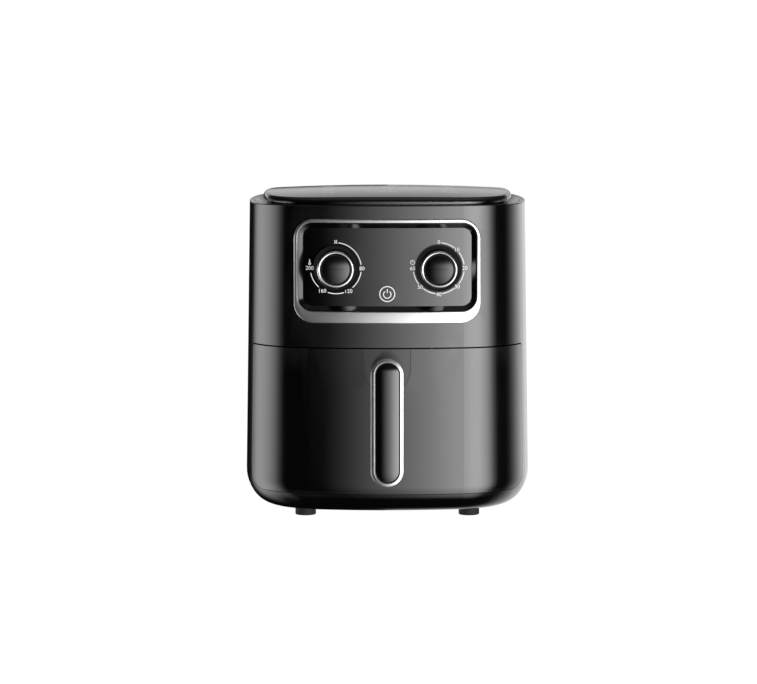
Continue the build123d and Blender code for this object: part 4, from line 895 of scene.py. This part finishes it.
def islands(name):
    """The (low, high) boxes of a CAD node's separate solids."""
    shape = bmesh.new()
    shape.from_mesh(nodes[name].data)
    bmesh.ops.remove_doubles(shape, verts=shape.verts, dist=1e-6)
    left, boxes = set(shape.verts), []
    while left:
        stack, group = [left.pop()], []
        while stack:
            vertex = stack.pop()
            group.append(vertex.co.copy())
            for edge in vertex.link_edges:
                other = edge.other_vert(vertex)
                if other in left:
                    left.remove(other)
                    stack.append(other)
        boxes.append(tuple(Vector(pick(point[axis] for point in group) for axis in range(3))
                           for pick in (min, max)))
    shape.free()
    return boxes


def named_tree(name, sizes):
    """An empty geometry tree with a geometry input and output and a named input for each size."""
    tree = bpy.data.node_groups.new(name, "GeometryNodeTree")
    tree.interface.new_socket("Geometry", in_out="INPUT", socket_type="NodeSocketGeometry")
    tree.interface.new_socket("Geometry", in_out="OUTPUT", socket_type="NodeSocketGeometry")
    for size in sizes:
        tree.interface.new_socket(size, in_out="INPUT", socket_type="NodeSocketFloat")
    return tree, tree.nodes.new("NodeGroupInput"), tree.nodes.new("NodeGroupOutput")


def cylinder(tree, radius, depth, lift, sides=32):
    """A cylinder node with linked sizes, moved up by `lift`."""
    node = tree.nodes.new("GeometryNodeMeshCylinder")
    node.inputs["Vertices"].default_value = sides
    tree.links.new(radius, node.inputs["Radius"])
    tree.links.new(depth, node.inputs["Depth"])
    place = tree.nodes.new("ShaderNodeCombineXYZ")
    tree.links.new(lift, place.inputs["Z"])
    move = tree.nodes.new("GeometryNodeTransform")
    tree.links.new(node.outputs["Mesh"], move.inputs["Geometry"])
    tree.links.new(place.outputs[0], move.inputs["Translation"])
    return move.outputs["Geometry"]


def half(tree, value, factor=0.5):
    """A value times a factor."""
    return calculate(tree, "MULTIPLY", value, factor)


def screw_tree(material):
    """Points become pan-head screws with a cross recess, head downwards."""
    tree, given, made = named_tree("pan_head_screws",
                                   ("Head Radius", "Head Height", "Shank Radius", "Shank Length"))
    head_radius, head_height, shank_radius, shank_length = given.outputs[1:5]
    head = cylinder(tree, head_radius, head_height, half(tree, head_height))
    shank_lift = calculate(tree, "MULTIPLY_ADD", shank_length, 0.5, head_height)
    shank = cylinder(tree, shank_radius, shank_length, shank_lift, sides=20)
    cut = tree.nodes.new("GeometryNodeMeshBoolean")
    cut.operation = "DIFFERENCE"
    tree.links.new(head, cut.inputs[0])
    for long_axis, short_axis in (("X", "Y"), ("Y", "X")):
        size = tree.nodes.new("ShaderNodeCombineXYZ")
        tree.links.new(half(tree, head_radius, 1.2), size.inputs[long_axis])
        tree.links.new(half(tree, head_radius, 0.26), size.inputs[short_axis])
        tree.links.new(head_height, size.inputs["Z"])
        slot = tree.nodes.new("GeometryNodeMeshCube")
        tree.links.new(size.outputs[0], slot.inputs["Size"])
        tree.links.new(slot.outputs["Mesh"], cut.inputs[1])
    both = tree.nodes.new("GeometryNodeJoinGeometry")
    tree.links.new(cut.outputs[0], both.inputs[0])
    tree.links.new(shank, both.inputs[0])
    return finish_tree(tree, given, made, both.outputs[0], material)


def finish_tree(tree, given, made, template, material):
    """Instances of the template on the given points, made real and given their material."""
    place = tree.nodes.new("GeometryNodeInstanceOnPoints")
    tree.links.new(given.outputs["Geometry"], place.inputs["Points"])
    tree.links.new(template, place.inputs["Instance"])
    real = tree.nodes.new("GeometryNodeRealizeInstances")
    paint = tree.nodes.new("GeometryNodeSetMaterial")
    paint.inputs["Material"].default_value = material
    tree.links.new(place.outputs[0], real.inputs[0])
    tree.links.new(real.outputs[0], paint.inputs["Geometry"])
    tree.links.new(paint.outputs[0], made.inputs[0])
    return tree


def grown(name, points, tree, sizes, body, material, replaced=None):
    """Runs a tree on some points and keeps the result as a plain mesh."""
    seed = bpy.data.meshes.new(name + "_points")
    seed.from_pydata(points, [], [])
    holder = bpy.data.objects.new(name + "_points", seed)
    bpy.context.collection.objects.link(holder)
    modifier = holder.modifiers.new("grow", "NODES")
    modifier.node_group = tree
    for item in tree.interface.items_tree:
        if item.in_out == "INPUT" and item.name in sizes:
            modifier[item.identifier] = sizes[item.name]
    evaluated = holder.evaluated_get(bpy.context.evaluated_depsgraph_get())
    mesh = bpy.data.meshes.new_from_object(evaluated)
    bpy.data.objects.remove(holder)
    mesh.name = name
    piece = new_piece(name, mesh, material, body, smooth=35)
    if replaced:
        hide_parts(replaced)
    return piece


# %% [markdown]
# ## Base screws
# The places and sizes are read from the model's own screws, one solid at a time, so the new ones sit in
# the same holes.
# %% Screws under the base
screw_boxes = islands("bottom_screws")
screw_low, screw_high = screw_boxes[0]
head_radius = (screw_high.x - screw_low.x) / 2
HEAD_HEIGHT = 2.2 * MM
sizes = {"Head Radius": head_radius, "Head Height": HEAD_HEIGHT, "Shank Radius": head_radius * 0.45,
         "Shank Length": screw_high.z - screw_low.z - HEAD_HEIGHT}
points = [((low.x + high.x) / 2, (low.y + high.y) / 2, low.z) for low, high in screw_boxes]
base_screws = grown("base_screws", points, screw_tree(FINISHES["screw_steel"]), sizes, "housing",
                    FINISHES["screw_steel"], "bottom_screws")
print(len(points), "screws,", len(base_screws.data.polygons), "faces")

# %% [markdown]
# ## Foot ribs
# Rubber feet are often ribbed round their side, which lets the rubber give a little and makes them easy to
# press in. The ribs stay inside the foot's own radius.
# %% Ribs round the feet
RIBS = 28
RIB_WIDTH, RIB_REACH, RIB_HEIGHT = 0.7 * MM, 0.35 * MM, 2.6 * MM


def rib_tree(material):
    """Points become small upright ribs."""
    tree, given, made = named_tree("foot_ribs", ("Rib Width", "Rib Reach", "Rib Height"))
    size = tree.nodes.new("ShaderNodeCombineXYZ")
    for axis, label in (("X", "Rib Width"), ("Y", "Rib Reach"), ("Z", "Rib Height")):
        tree.links.new(given.outputs[label], size.inputs[axis])
    block = tree.nodes.new("GeometryNodeMeshCube")
    tree.links.new(size.outputs[0], block.inputs["Size"])
    return finish_tree(tree, given, made, block.outputs["Mesh"], material)


rib_points = []
for corner in ("front_left", "front_right", "rear_left", "rear_right"):
    low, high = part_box(f"foot_{corner}")
    centre_x, centre_y = (low[0] + high[0]) / 2, (low[1] + high[1]) / 2
    reach = (high[0] - low[0]) / 2 - RIB_REACH
    for index in range(RIBS):
        angle = math.tau * index / RIBS
        rib_points.append((centre_x + reach * math.cos(angle), centre_y + reach * math.sin(angle),
                           low[2] + 1.0 * MM + RIB_HEIGHT / 2))
grown("foot_ribs", rib_points, rib_tree(FINISHES["rubber"]),
      {"Rib Width": RIB_WIDTH, "Rib Reach": RIB_WIDTH, "Rib Height": RIB_HEIGHT}, "housing",
      FINISHES["rubber"])
print(len(rib_points), "ribs on four feet")
